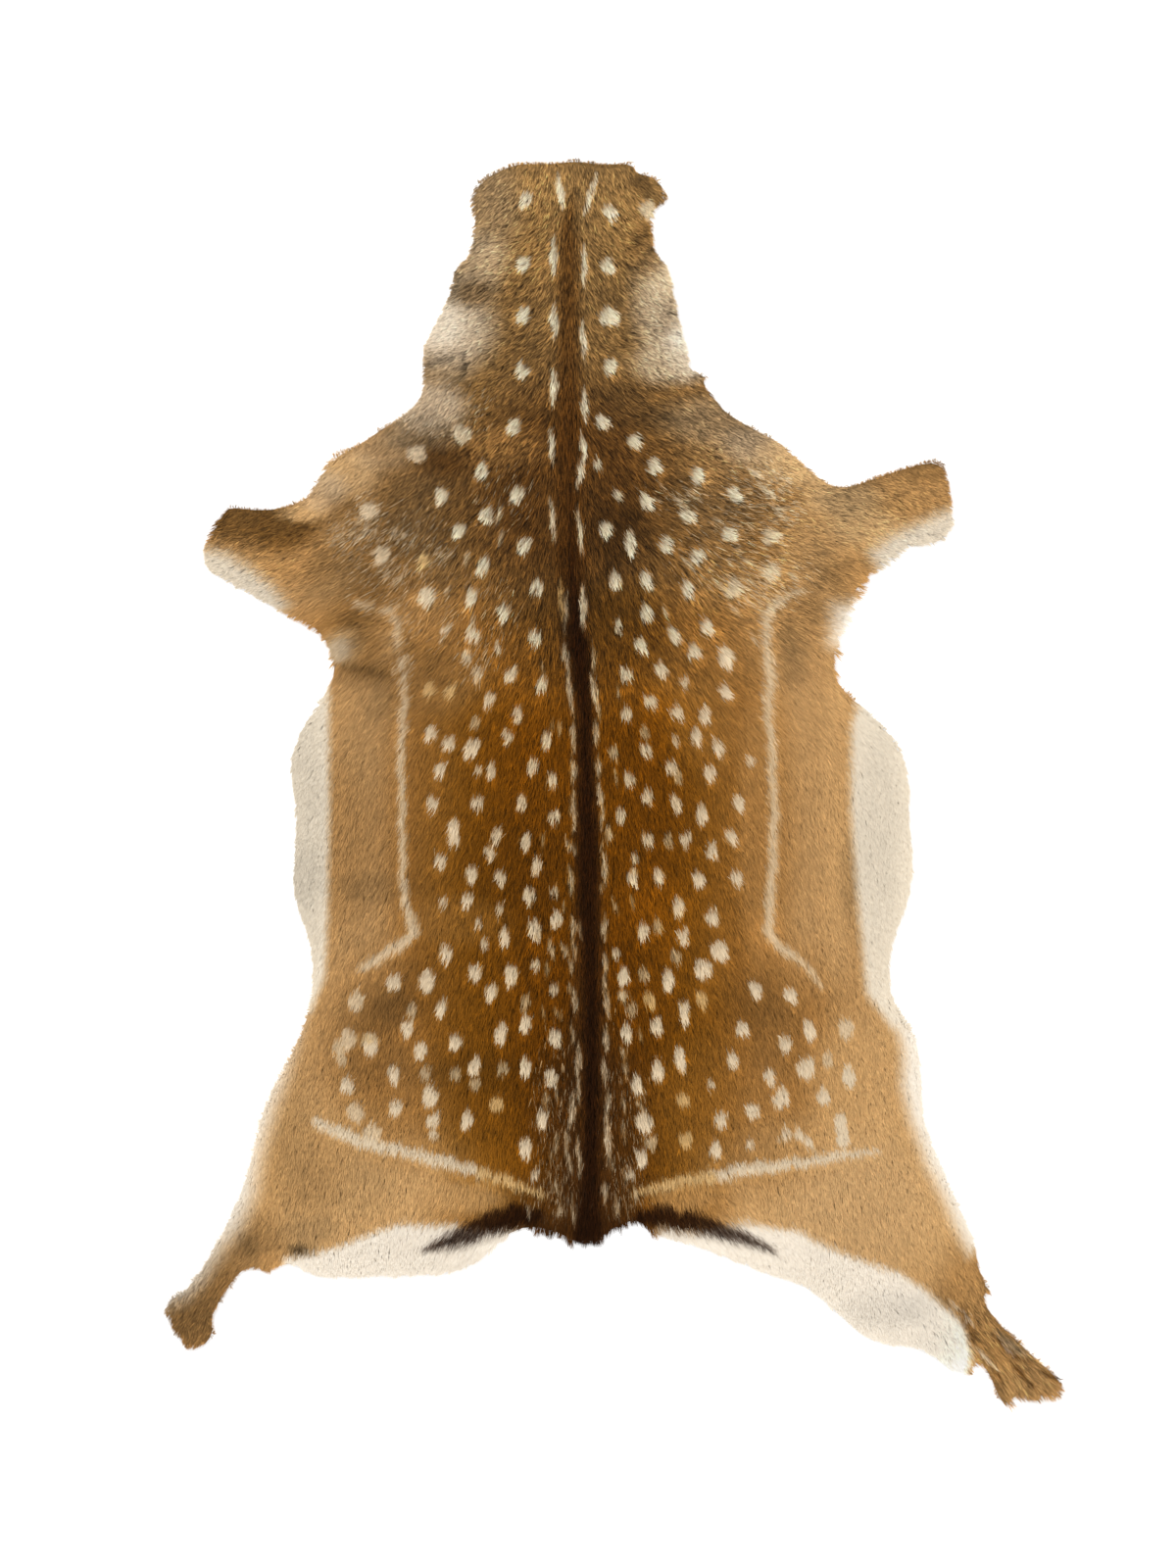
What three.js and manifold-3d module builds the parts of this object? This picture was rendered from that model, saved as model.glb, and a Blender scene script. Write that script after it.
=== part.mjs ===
// A spotted deer hide lying flat with its hair up: one sheet of skin and the short coat on it.
// Millimetres. "across" runs from the spine to the right, "along" from the neck's cut edge to
// the tail. The finished part has +X to the right, +Y towards the neck and +Z up out of the hair.
import * as THREE from "three";
import { mergeVertices } from "three/addons/utils/BufferGeometryUtils.js";
import Module from "manifold-3d";

const SKIN = 1.4; // thickness of the bare skin
const RIM_NAP = 1.4; // depth of the combed-down hair where it runs out over the cut edge
const BODY_NAP = 5.0; // depth of the combed-down hair on the flanks
const RIM_TAPER = 34; // width of the band in which the coat thins towards the cut edge
const RIM_STEP = 10; // length of one facet of the cut edge
const GRID_STEP = 19; // size of the facets that the two faces are made of
const FLAT_LIFT = 0.4; // folds that lift the underside less than this leave it on the floor
const LEAST_NAP = 1; // depth of the hair at the bottom of a crease
const PATCH_FADE = 1.3; // a patch of deeper coat fades out at this many times its half size
const FOLD_FADE = 1.6; // a fold fades out at this many times its half width
const LUMP = { height: 0.5, across: 31, along: 43, slant: 67 }; // long low waves of the coat
const TOOTH = { alternate: 0.6, slow: 0.25, slower: 0.15 }; // what a tooth of the rim adds up
const HAIR_COLOUR = 0x8a5c2e;

// The front edge, cut straight across the neck, from its left corner to its right one.
const FRONT_HEM = [
  { across: -66, along: 3 },
  { across: -30, along: 4 },
  { across: -5, along: 0 },
  { across: 22, along: 4 },
  { across: 42, along: 2 },
];

// The two sides of the neck. The right one is torn near the front.
const NECK = [
  { along: 8, left: -82, right: 45 },
  { along: 18, left: -97, right: 58 },
  { along: 33, left: -105, right: 73 },
  { along: 52, left: -104, right: 59 },
  { along: 71, left: -105, right: 59 },
  { along: 84, left: -107, right: 62 },
  { along: 100, left: -121, right: 72 },
  { along: 122, left: -126, right: 77 },
  { along: 150, left: -139, right: 84 },
  { along: 177, left: -151, right: 90 },
];

// The forelegs, opened out sideways: where the edge towards the neck and the edge towards the
// tail lie at each distance from the spine. Over the shoulder only the first one is an edge.
const LEFT_FORELEG = [
  { across: -150, front: 208 },
  { across: -159, front: 225 },
  { across: -187, front: 246 },
  { across: -210, front: 261 },
  { across: -239, front: 273, rear: 444 },
  { across: -247, front: 294, rear: 435 },
  { across: -264, front: 315, rear: 424 },
  { across: -301, front: 322, rear: 402 },
  { across: -333, front: 319, rear: 384 },
  { across: -344, front: 334, rear: 377 },
  { across: -352, front: 357, rear: 369 },
];
const RIGHT_FORELEG = [
  { across: 94, front: 195 },
  { across: 106, front: 206 },
  { across: 122, front: 228 },
  { across: 150, front: 245 },
  { across: 172, front: 257 },
  { across: 198, front: 280 },
  { across: 223, front: 299, rear: 452 },
  { across: 242, front: 299, rear: 406 },
  { across: 266, front: 290, rear: 374 },
  { across: 293, front: 282, rear: 355 },
  { across: 325, front: 275, rear: 348 },
  { across: 328, front: 290 },
  { across: 332, front: 308, rear: 336 },
];

// The two flanks and the outer edges of the thighs.
const FLANKS = [
  { along: 464, left: -231, right: 225 },
  { along: 482, left: -236, right: 231 },
  { along: 518, left: -259, right: 268 },
  { along: 548, left: -271, right: 289 },
  { along: 606, left: -267, right: 294 },
  { along: 660, left: -270, right: 296 },
  { along: 685, left: -266, right: 290 },
  { along: 724, left: -253, right: 277 },
  { along: 768, left: -254, right: 278 },
  { along: 803, left: -264, right: 299 },
  { along: 850, left: -288, right: 305 },
  { along: 875, left: -299, right: 306 },
  { along: 932, left: -313, right: 327 },
  { along: 978, left: -332, right: 348 },
];

// The hind legs: their outer edge, and below the rump their inner one.
const LEFT_HIND_LEG = [
  { along: 1002, outer: -345 },
  { along: 1022, outer: -357, inner: -320 },
  { along: 1039, outer: -373, inner: -332 },
  { along: 1050, outer: -388, inner: -339 },
  { along: 1066, outer: -383, inner: -348 },
  { along: 1084, outer: -373, inner: -352 },
  { along: 1092, outer: -367, inner: -362 },
];
const RIGHT_HIND_LEG = [
  { along: 1003, outer: 356 },
  { along: 1030, outer: 363 },
  { along: 1050, outer: 365 },
  { along: 1075, outer: 384 },
  { along: 1099, outer: 406, inner: 358 },
  { along: 1112, outer: 422, inner: 370 },
  { along: 1122, outer: 435, inner: 372 },
  { along: 1133, outer: 431, inner: 376 },
];

// The rear edge, round the rump and the tail, from the left hind leg to the right one.
const REAR_HEM = [
  { across: -306, along: 1017 },
  { across: -292, along: 1019 },
  { across: -274, along: 1011 },
  { across: -249, along: 1023 },
  { across: -190, along: 1023 },
  { across: -128, along: 1020 },
  { across: -104, along: 1011 },
  { across: -72, along: 987 },
  { across: -46, along: 983 },
  { across: -18, along: 991 },
  { across: 0, along: 996 },
  { across: 15, along: 991 },
  { across: 42, along: 976 },
  { across: 56, along: 984 },
  { across: 104, along: 997 },
  { across: 165, along: 1021 },
  { across: 202, along: 1034 },
  { across: 240, along: 1067 },
  { across: 264, along: 1083 },
  { across: 307, along: 1091 },
  { across: 335, along: 1110 },
  { across: 350, along: 1111 },
];

// Where the hair at the rim stands out in teeth, and how far. Elsewhere it lies close.
const RIM_TEETH = [
  { across: 66, along: 60, radius: 60, depth: 2.6 },
  { across: 110, along: 205, radius: 30, depth: 2.6 },
  { across: -240, along: 450, radius: 60, depth: 2.2 },
  { across: -310, along: 385, radius: 60, depth: 2.0 },
  { across: 255, along: 385, radius: 80, depth: 2.6 },
  { across: 265, along: 520, radius: 80, depth: 2.0 },
  { across: 0, along: 990, radius: 95, depth: 3.4 },
  { across: -345, along: 1045, radius: 65, depth: 2.6 },
  { across: 380, along: 1100, radius: 75, depth: 3.2 },
];
const CLOSE_TEETH = 0.5;
const TEETH_FADE = 1.4;

// Single locks that reach out past the rim: where the rim's nearest corner is drawn out to.
const TUFTS = [
  { across: -240, along: 457 },
  { across: 261, along: 381 },
  { across: 113, along: 195 },
  { across: -17, along: 1001 },
  { across: 9, along: 1000 },
  { across: -342, along: 1078 },
  { across: 373, along: 1044 },
  { across: 376, along: 1144 },
  { across: 387, along: 1150 },
  { across: 431, along: 1139 },
];

// How deep the combed coat is on top of BODY_NAP: a long ridge of hair on the spine, a thicker
// mane on the neck and the withers, and thinner hair on the belly edges and the legs.
const COAT = [
  { across: -12, along: 60, half_width: 85, half_length: 150, depth: 2.0 },
  { across: -15, along: 330, half_width: 130, half_length: 160, depth: 2.4 },
  { across: 0, along: 620, half_width: 55, half_length: 330, depth: 1.8 },
  { across: 2, along: 900, half_width: 60, half_length: 130, depth: 2.4 },
  { across: -265, along: 600, half_width: 60, half_length: 200, depth: -1.6 },
  { across: 280, along: 600, half_width: 60, half_length: 200, depth: -1.6 },
  { across: -320, along: 960, half_width: 60, half_length: 160, depth: -1.4 },
  { across: 350, along: 1000, half_width: 60, half_length: 160, depth: -1.4 },
  { across: -310, along: 360, half_width: 80, half_length: 60, depth: -1.0 },
  { across: 300, along: 320, half_width: 80, half_length: 60, depth: -1.0 },
];

// Folds and creases, each a soft ridge or, with a negative rise, a trough between two points.
// A ridge with a lift raises the underside off the floor as well.
const FOLDS = [
  { from: [-104, 78], to: [-60, 92], half_width: 16, rise: 1.2, lift: 1.6 },
  { from: [-111, 172], to: [-116, 206], half_width: 11, rise: -2.2, lift: 0 },
  { from: [-122, 168], to: [-134, 212], half_width: 16, rise: 0.8, lift: 2.2 },
  { from: [60, 120], to: [84, 190], half_width: 14, rise: 0.6, lift: 2.4 },
  { from: [-228, 446], to: [-172, 452], half_width: 24, rise: 1.6, lift: 4.6 },
  { from: [-232, 468], to: [-168, 484], half_width: 13, rise: -2.4, lift: 0 },
  { from: [-214, 300], to: [-252, 404], half_width: 26, rise: 0.8, lift: 3.0 },
  { from: [226, 446], to: [176, 452], half_width: 22, rise: 1.2, lift: 3.2 },
  { from: [227, 468], to: [180, 480], half_width: 12, rise: -1.8, lift: 0 },
  { from: [214, 322], to: [312, 312], half_width: 22, rise: 0.8, lift: 2.6 },
  { from: [-262, 668], to: [-150, 660], half_width: 24, rise: -1.2, lift: 0 },
  { from: [285, 668], to: [180, 676], half_width: 22, rise: -0.8, lift: 0 },
  { from: [-352, 1010], to: [-372, 1076], half_width: 18, rise: 0.4, lift: 2.8 },
  { from: [262, 1040], to: [322, 1092], half_width: 14, rise: 0.8, lift: 1.6 },
  { from: [300, 1030], to: [340, 1080], half_width: 12, rise: -0.8, lift: 0 },
  { from: [352, 1046], to: [412, 1116], half_width: 17, rise: 1.4, lift: 4.4 },
  { from: [352, 1082], to: [384, 1124], half_width: 10, rise: -1.2, lift: 0 },
];

const smooth = (t) => THREE.MathUtils.smoothstep(t, 0, 1);

// Distance from a point to the segment between two others, all as [across, along].
function distanceToSegment([px, py], [ax, ay], [bx, by]) {
  const length2 = (bx - ax) ** 2 + (by - ay) ** 2;
  const t = length2 ? ((px - ax) * (bx - ax) + (py - ay) * (by - ay)) / length2 : 0;
  const held = THREE.MathUtils.clamp(t, 0, 1);
  return Math.hypot(px - ax - held * (bx - ax), py - ay - held * (by - ay));
}

// The corners of the cut edge, once round from the neck's left corner.
function rimCorners() {
  const side = (rows, cross, down) =>
    rows.filter((row) => row[cross] !== undefined).map((row) => [row[cross], row[down]]);
  return [
    ...side(NECK, "left", "along"),
    ...side(LEFT_FORELEG, "across", "front"),
    ...LEFT_FORELEG.filter((row) => row.rear).reverse().map((row) => [row.across, row.rear]),
    ...side(FLANKS, "left", "along"),
    ...side(LEFT_HIND_LEG, "outer", "along"),
    ...side(LEFT_HIND_LEG, "inner", "along").reverse(),
    ...side(REAR_HEM, "across", "along"),
    ...side(RIGHT_HIND_LEG, "inner", "along"),
    ...side(RIGHT_HIND_LEG, "outer", "along").reverse(),
    ...side(FLANKS, "right", "along").reverse(),
    ...RIGHT_FORELEG.filter((row) => row.rear).map((row) => [row.across, row.rear]),
    ...side(RIGHT_FORELEG, "across", "front").reverse(),
    ...side(NECK, "right", "along").reverse(),
    ...side(FRONT_HEM, "across", "along").reverse(),
  ];
}

// How far the rim's teeth stand out at a point of it.
function teethDepth(at) {
  let depth = CLOSE_TEETH;
  for (const patch of RIM_TEETH) {
    const away = Math.hypot(at[0] - patch.across, at[1] - patch.along) / patch.radius;
    depth = Math.max(depth, patch.depth * smooth(TEETH_FADE - away));
  }
  return depth;
}

// The rim: a smooth curve through the corners, then its teeth and its single tufts.
function rimPoints() {
  const corners = rimCorners().map(([across, along]) => new THREE.Vector3(across, along, 0));
  const curve = new THREE.CatmullRomCurve3(corners, true, "centripetal");
  curve.arcLengthDivisions = 4000;
  const count = Math.round(curve.getLength() / RIM_STEP);
  const smoothRim = curve.getSpacedPoints(count).slice(0, count);
  const rim = smoothRim.map((point, i) => {
    const before = smoothRim[(i + count - 1) % count];
    const after = smoothRim[(i + 1) % count];
    const outward = new THREE.Vector2(before.y - after.y, after.x - before.x).normalize();
    const tooth = TOOTH.alternate * (i % 2 ? 1 : -1) + TOOTH.slow * Math.sin(i * 1.9)
      + TOOTH.slower * Math.sin(i * 0.73);
    const reach = teethDepth([point.x, point.y]) * tooth;
    return [point.x + outward.x * reach, point.y + outward.y * reach];
  });
  for (const { across, along } of TUFTS) {
    const gaps = rim.map((corner) => Math.hypot(corner[0] - across, corner[1] - along));
    rim[gaps.indexOf(Math.min(...gaps))] = [across, along];
  }
  return rim;
}

// Distance from a point of the hide to its rim.
function distanceToRim(at, rim) {
  let nearest = Infinity;
  for (let i = 0; i < rim.length; i += 2) {
    const next = rim[(i + 2) % rim.length];
    nearest = Math.min(nearest, distanceToSegment(at, rim[i], next));
  }
  return nearest;
}

// Sum of the folds at a point, in the column that is asked for.
function foldHeight(at, column) {
  let height = 0;
  for (const fold of FOLDS) {
    const away = distanceToSegment(at, fold.from, fold.to) / (FOLD_FADE * fold.half_width);
    height += fold[column] * smooth(1 - away);
  }
  return height;
}

// Height of the underside: nought but where a fold lifts it.
function undersideHeight(at) {
  const lift = foldHeight(at, "lift");
  return lift < FLAT_LIFT ? 0 : lift - FLAT_LIFT;
}

// Depth of skin and combed coat at a point.
function coatDepth(at, rim) {
  let nap = BODY_NAP;
  for (const patch of COAT) {
    const u = (at[0] - patch.across) / patch.half_width;
    const v = (at[1] - patch.along) / patch.half_length;
    nap += patch.depth * smooth(PATCH_FADE - Math.hypot(u, v));
  }
  const slant = at[1] / LUMP.along + at[0] / LUMP.slant;
  nap += LUMP.height * Math.sin(at[0] / LUMP.across) * Math.sin(slant);
  nap += foldHeight(at, "rise");
  const inward = smooth(distanceToRim(at, rim) / RIM_TAPER);
  return SKIN + RIM_NAP + (Math.max(nap, LEAST_NAP) - RIM_NAP) * inward;
}

// A closed slab wider than the hide, with the hide's two faces.
function blanket(rim) {
  const across = rim.map((point) => point[0]);
  const along = rim.map((point) => point[1]);
  const start = [Math.min(...across) - GRID_STEP, Math.min(...along) - GRID_STEP];
  const columns = Math.ceil((Math.max(...across) - start[0]) / GRID_STEP) + 1;
  const rows = Math.ceil((Math.max(...along) - start[1]) / GRID_STEP) + 1;
  const positions = [];
  const faces = [];
  for (let r = 0; r <= rows; r++) {
    for (let c = 0; c <= columns; c++) {
      // Every other row is half a step along, so the facets are close to equal-sided.
      const shift = r % 2 && c > 0 && c < columns ? GRID_STEP / 2 : 0;
      const at = [start[0] + c * GRID_STEP - shift, start[1] + r * GRID_STEP];
      const under = undersideHeight(at);
      positions.push(at[0], -at[1], under, at[0], -at[1], under + coatDepth(at, rim));
    }
  }
  const index = (r, c, top) => 2 * (r * (columns + 1) + c) + top;
  const quad = (a, b, c, d) => faces.push(a, b, c, a, c, d);
  for (let r = 0; r < rows; r++) {
    for (let c = 0; c < columns; c++) {
      quad(index(r, c, 1), index(r + 1, c, 1), index(r + 1, c + 1, 1), index(r, c + 1, 1));
      quad(index(r, c, 0), index(r, c + 1, 0), index(r + 1, c + 1, 0), index(r + 1, c, 0));
    }
    quad(index(r, 0, 0), index(r + 1, 0, 0), index(r + 1, 0, 1), index(r, 0, 1));
    quad(index(r + 1, columns, 0), index(r, columns, 0), index(r, columns, 1),
      index(r + 1, columns, 1));
  }
  for (let c = 0; c < columns; c++) {
    quad(index(0, c + 1, 0), index(0, c, 0), index(0, c, 1), index(0, c + 1, 1));
    quad(index(rows, c, 0), index(rows, c + 1, 0), index(rows, c + 1, 1), index(rows, c, 1));
  }
  const geometry = new THREE.BufferGeometry();
  geometry.setAttribute("position", new THREE.Float32BufferAttribute(positions, 3));
  geometry.setIndex(faces);
  return geometry;
}

// A straight-sided block with the hide's outline, taller than the hide.
const BLOCK_HEIGHT = 80;
function outlineBlock(rim) {
  const shape = new THREE.Shape(rim.map(([across, along]) => new THREE.Vector2(across, -along)));
  const geometry = new THREE.ExtrudeGeometry(shape, { depth: BLOCK_HEIGHT, bevelEnabled: false });
  return geometry.translate(0, 0, -BLOCK_HEIGHT / 2);
}

const wasm = await Module();
wasm.setup();

function solid(geometry) {
  geometry.deleteAttribute("normal");
  geometry.deleteAttribute("uv");
  const merged = mergeVertices(geometry, 1e-4);
  return new wasm.Manifold(new wasm.Mesh({
    numProp: 3,
    vertProperties: merged.attributes.position.array,
    triVerts: new Uint32Array(merged.index.array),
  }));
}

// The hide: its blanket trimmed to its outline, with the origin under the middle of its box.
function hideGeometry() {
  const rim = rimPoints();
  const trimmed = solid(blanket(rim)).intersect(solid(outlineBlock(rim))).getMesh();
  const geometry = new THREE.BufferGeometry();
  geometry.setAttribute("position", new THREE.BufferAttribute(trimmed.vertProperties, 3));
  geometry.setIndex(new THREE.BufferAttribute(trimmed.triVerts, 1));
  geometry.computeBoundingBox();
  const middle = geometry.boundingBox.getCenter(new THREE.Vector3());
  geometry.translate(-middle.x, -middle.y, 0);
  geometry.computeVertexNormals();
  return geometry;
}

const hair = new THREE.MeshStandardMaterial({
  color: HAIR_COLOUR,
  roughness: 0.85,
  metalness: 0,
});
const hide = new THREE.Mesh(hideGeometry(), hair);
hide.name = "hide";

const group = new THREE.Group();
group.add(hide);

export default group;
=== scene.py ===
import bmesh
import bpy
import numpy as np
from mathutils.bvhtree import BVHTree
from mathutils.geometry import delaunay_2d_cdt
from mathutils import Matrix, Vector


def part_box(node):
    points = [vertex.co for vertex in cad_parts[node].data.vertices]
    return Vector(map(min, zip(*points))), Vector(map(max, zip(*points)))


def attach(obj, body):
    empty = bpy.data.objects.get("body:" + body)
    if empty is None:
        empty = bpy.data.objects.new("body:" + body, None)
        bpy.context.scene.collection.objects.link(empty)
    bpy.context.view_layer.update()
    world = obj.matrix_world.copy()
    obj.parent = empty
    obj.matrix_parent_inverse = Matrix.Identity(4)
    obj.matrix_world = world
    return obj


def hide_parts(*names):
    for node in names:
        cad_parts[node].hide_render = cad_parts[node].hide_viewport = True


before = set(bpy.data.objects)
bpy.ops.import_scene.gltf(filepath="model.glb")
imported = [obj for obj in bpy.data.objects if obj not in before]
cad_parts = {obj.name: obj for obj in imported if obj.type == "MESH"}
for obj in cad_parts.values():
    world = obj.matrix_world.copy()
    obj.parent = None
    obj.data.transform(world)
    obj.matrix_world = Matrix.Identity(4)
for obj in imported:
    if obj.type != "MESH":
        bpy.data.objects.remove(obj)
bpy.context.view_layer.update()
bpy.ops.object.select_all(action="DESELECT")

# The studio. A pale paper floor that glows a little lies under the hide, a large soft light
# stands on either side, and the camera hangs over the spine, straight down and far off.
FLOOR_SIZE = 9.0
FLOOR_DROP = 0.0005
FLOOR_COLOUR = (0.90, 0.90, 0.90, 1.0)
FLOOR_GLOW = 0.25
PHOTO_HEIGHT = 1.440  # metres of floor from the photo's top edge to its bottom edge
PHOTO_MIDDLE = (0.0, 57.33)  # where the photo's middle lies on the hide
LENS = 85.0
SENSOR = 36.0
SOFT_LIGHTS = {
    "key": {"place": (-1.5, 1.7, 2.0), "size": 1.5, "watts": 58.0},
    "fill": {"place": (1.9, -0.6, 2.3), "size": 2.2, "watts": 30.0},
}
SKY_COLOUR = (1.0, 1.0, 1.0, 1.0)
SKY_STRENGTH = 0.74
LEFT_REACH = 38.89  # from the left hind foot's outermost corner to the spine
CENTIMETRES = 100  # in a metre

low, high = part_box("hide")


def metres(across, along):
    """x and y of a place on the hide."""
    return low.x + (LEFT_REACH + across) / CENTIMETRES, high.y - along / CENTIMETRES


def new_finish(name, roughness, specular):
    """A material and its shader."""
    material = bpy.data.materials.new(name)
    material.use_nodes = True
    shader = material.node_tree.nodes["Principled BSDF"]
    shader.inputs["Roughness"].default_value = roughness
    shader.inputs["Specular IOR Level"].default_value = specular
    return material, shader


bpy.ops.mesh.primitive_plane_add(size=FLOOR_SIZE, location=(0, 0, -FLOOR_DROP))
floor = bpy.context.object
floor.name = "floor"
paper, paper_shader = new_finish("floor_paper", roughness=0.9, specular=0.1)
paper_shader.inputs["Base Color"].default_value = FLOOR_COLOUR
paper_shader.inputs["Emission Color"].default_value = FLOOR_COLOUR
paper_shader.inputs["Emission Strength"].default_value = FLOOR_GLOW
floor.data.materials.append(paper)

sky = bpy.data.worlds.new("studio_sky")
sky.use_nodes = True
sky.node_tree.nodes["Background"].inputs["Color"].default_value = SKY_COLOUR
sky.node_tree.nodes["Background"].inputs["Strength"].default_value = SKY_STRENGTH
bpy.context.scene.world = sky

for name, lamp in SOFT_LIGHTS.items():
    bpy.ops.object.light_add(type="AREA", location=lamp["place"])
    light = bpy.context.object
    light.name = name
    light.data.size = lamp["size"]
    light.data.energy = lamp["watts"]
    light.rotation_euler = (-light.location).to_track_quat("-Z", "Y").to_euler()

middle_x, middle_y = metres(*PHOTO_MIDDLE)
camera_height = PHOTO_HEIGHT * LENS / SENSOR
bpy.ops.object.camera_add(location=(middle_x, middle_y, camera_height), rotation=(0, 0, 0))
camera = bpy.context.object
camera.data.lens = LENS
camera.data.sensor_width = SENSOR
bpy.context.scene.camera = camera
bpy.context.scene.view_settings.view_transform = "Standard"
bpy.ops.object.select_all(action="DESELECT")

# The skin. A real one is a single tanned sheet a little over a millimetre thick, suede on the
# flesh side and cut by hand round the rim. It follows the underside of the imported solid, and its
# rim stays just inside the solid's, because the hair lies out over the cut edge.
SKIN_THICKNESS = 0.0013
SKIN_INSET = 0.0011
SKIN_STEP = 0.0075  # size of the skin's facets
ROW_STEP = 0.866 * SKIN_STEP  # the height of a facet with three equal sides
RIM_CLEARANCE = 0.6 * SKIN_STEP  # no facet's corner lies nearer to the rim, but for the rim's own
CUT_SMOOTHING = 3
CHART_STEP = 0.002  # size of the squares that heights and distances are charted on
CHART_MARGIN = 0.02
CHART_SMOOTHING = 28
NO_SOLID_TOP = 0.003  # the height charted where there is no solid
SHORT_OF_LAST = 1.001  # how many squares before the chart's end a reading stops
SAME_CORNER = 1e-5
LEAST_LENGTH = 1e-6
LEAST_WEIGHT = 1e-9
STEEP = 0.5  # a face is a side where its normal rises or falls by less than this
INSIDE_ONLY = 1  # keeps the triangles inside the rim
# Stretches of the rim with tears and single locks, as across and along. Each takes the place of
# the solid's rim between its two ends.
RAGGED_RIM = [
    [(2.7, 0.35), (3.7, 0.2), (4.4, 0.2), (4.3, 0.8), (4.2, 1.4), (4.8, 1.35), (5.7, 1.1),
     (5.8, 1.6), (6.3, 1.8), (6.7, 1.9), (6.5, 2.4), (7.0, 2.8), (7.3, 3.4), (6.9, 3.8), (6.5, 4.2),
     (6.0, 4.6), (5.8, 5.2), (5.5, 5.6), (5.9, 6.0), (5.8, 6.7), (6.0, 7.3), (5.9, 8.0), (6.1, 8.7),
     (6.6, 8.9), (6.9, 9.3), (7.2, 9.8)],
    [(9.1, 18.2), (9.1, 19.2), (9.4, 19.5), (10.3, 19.6), (11.2, 19.6), (10.8, 20.1), (10.4, 20.4),
     (10.8, 21.0), (11.1, 21.4)],
    [(29.0, 35.5), (28.7, 35.9), (28.2, 36.1), (27.9, 36.8), (27.3, 36.6), (27.1, 37.0),
     (26.4, 37.2), (26.4, 37.9), (25.6, 37.9), (25.6, 38.7), (25.1, 39.2), (24.5, 39.3),
     (24.6, 40.1), (23.9, 40.3), (24.0, 40.8), (23.5, 41.2), (23.7, 42.0), (23.2, 42.5),
     (23.2, 43.3), (22.8, 43.8), (22.9, 44.8), (22.5, 45.6), (22.6, 46.4), (22.3, 47.2),
     (22.9, 48.0), (23.5, 48.8), (24.5, 49.5), (24.9, 50.1)],
    [(35.5, 100.5), (35.8, 101.7), (36.2, 102.6), (36.7, 103.3), (37.1, 104.2), (36.6, 104.0),
     (36.1, 104.0), (36.2, 104.7), (36.7, 105.5), (37.3, 106.4), (38.1, 107.1), (38.6, 107.6),
     (39.5, 108.3), (40.1, 109.1), (40.9, 109.8), (41.7, 110.6), (42.6, 111.2), (43.2, 111.7),
     (43.5, 112.2), (43.5, 112.8), (43.2, 113.3), (42.9, 113.8), (42.2, 113.6), (41.6, 113.2),
     (41.2, 113.9), (40.3, 113.7), (39.7, 113.6), (39.4, 113.2), (38.9, 113.4), (38.7, 115.0),
     (38.3, 114.1), (37.9, 113.9), (37.7, 114.4), (37.4, 113.2), (37.1, 111.8), (36.6, 111.1),
     (36.0, 110.4), (35.5, 109.8), (35.4, 110.3), (35.0, 111.2)],
    [(5.3, 97.9), (4.6, 97.3), (4.0, 97.2), (3.4, 97.8), (2.7, 98.0), (1.8, 98.4), (1.3, 98.9),
     (0.9, 99.6), (0.2, 99.4), (-0.5, 99.5), (-1.3, 99.2), (-1.7, 99.6), (-2.0, 98.8),
     (-2.7, 98.6), (-3.4, 98.2), (-3.9, 98.4), (-4.9, 98.0), (-5.9, 97.7), (-7.1, 98.4),
     (-8.0, 99.3), (-9.3, 100.2)],
    [(-29.3, 102.1), (-29.9, 101.9), (-30.3, 101.6), (-30.9, 101.7), (-31.5, 101.8),
     (-32.0, 102.1), (-32.4, 102.7), (-32.7, 103.5)],
    [(-23.8, 48.6), (-23.4, 47.6), (-23.1, 46.2), (-23.3, 45.8), (-23.9, 45.6), (-23.4, 45.2),
     (-24.0, 44.8), (-24.0, 44.2), (-24.6, 43.3), (-25.4, 42.8), (-26.1, 42.3), (-27.0, 42.0)],
    [(-29.8, 32.2), (-30.7, 32.1), (-31.6, 32.0), (-32.6, 31.8), (-33.4, 31.7), (-33.1, 32.1),
     (-33.6, 32.6), (-34.2, 33.4), (-34.7, 34.6), (-35.1, 35.5), (-35.1, 36.8), (-35.0, 37.3)],
    [(-19.0, 24.7), (-19.5, 24.8), (-19.5, 25.2), (-20.6, 26.0), (-22.0, 26.6), (-23.4, 27.2),
     (-23.9, 27.8), (-24.2, 28.6), (-24.5, 29.3), (-25.1, 29.8), (-25.0, 30.2), (-25.5, 30.4),
     (-25.4, 30.8), (-25.9, 31.2), (-26.9, 31.6), (-28.1, 31.9), (-28.8, 32.1)],
    [(-10.7, 4.2), (-10.5, 2.9), (-10.2, 2.2), (-9.6, 1.7), (-9.0, 1.3), (-7.9, 0.8), (-6.9, 0.4),
     (-6.3, 0.35), (-5.8, 0.15), (-5.3, 0.4), (-4.3, 0.3), (-3.6, 0.25), (-2.9, 0.4), (-2.2, 0.2),
     (-1.7, 0.0), (-0.9, 0.0), (-0.3, 0.3), (0.4, 0.2), (1.0, 0.4), (2.0, 0.4)],
]
FLESH_TINTS = [(0.35, (0.46, 0.33, 0.20, 1.0)), (0.62, (0.66, 0.52, 0.36, 1.0))]  # tan, cream
CORNER_COLOUR = "hair_colour"


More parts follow.
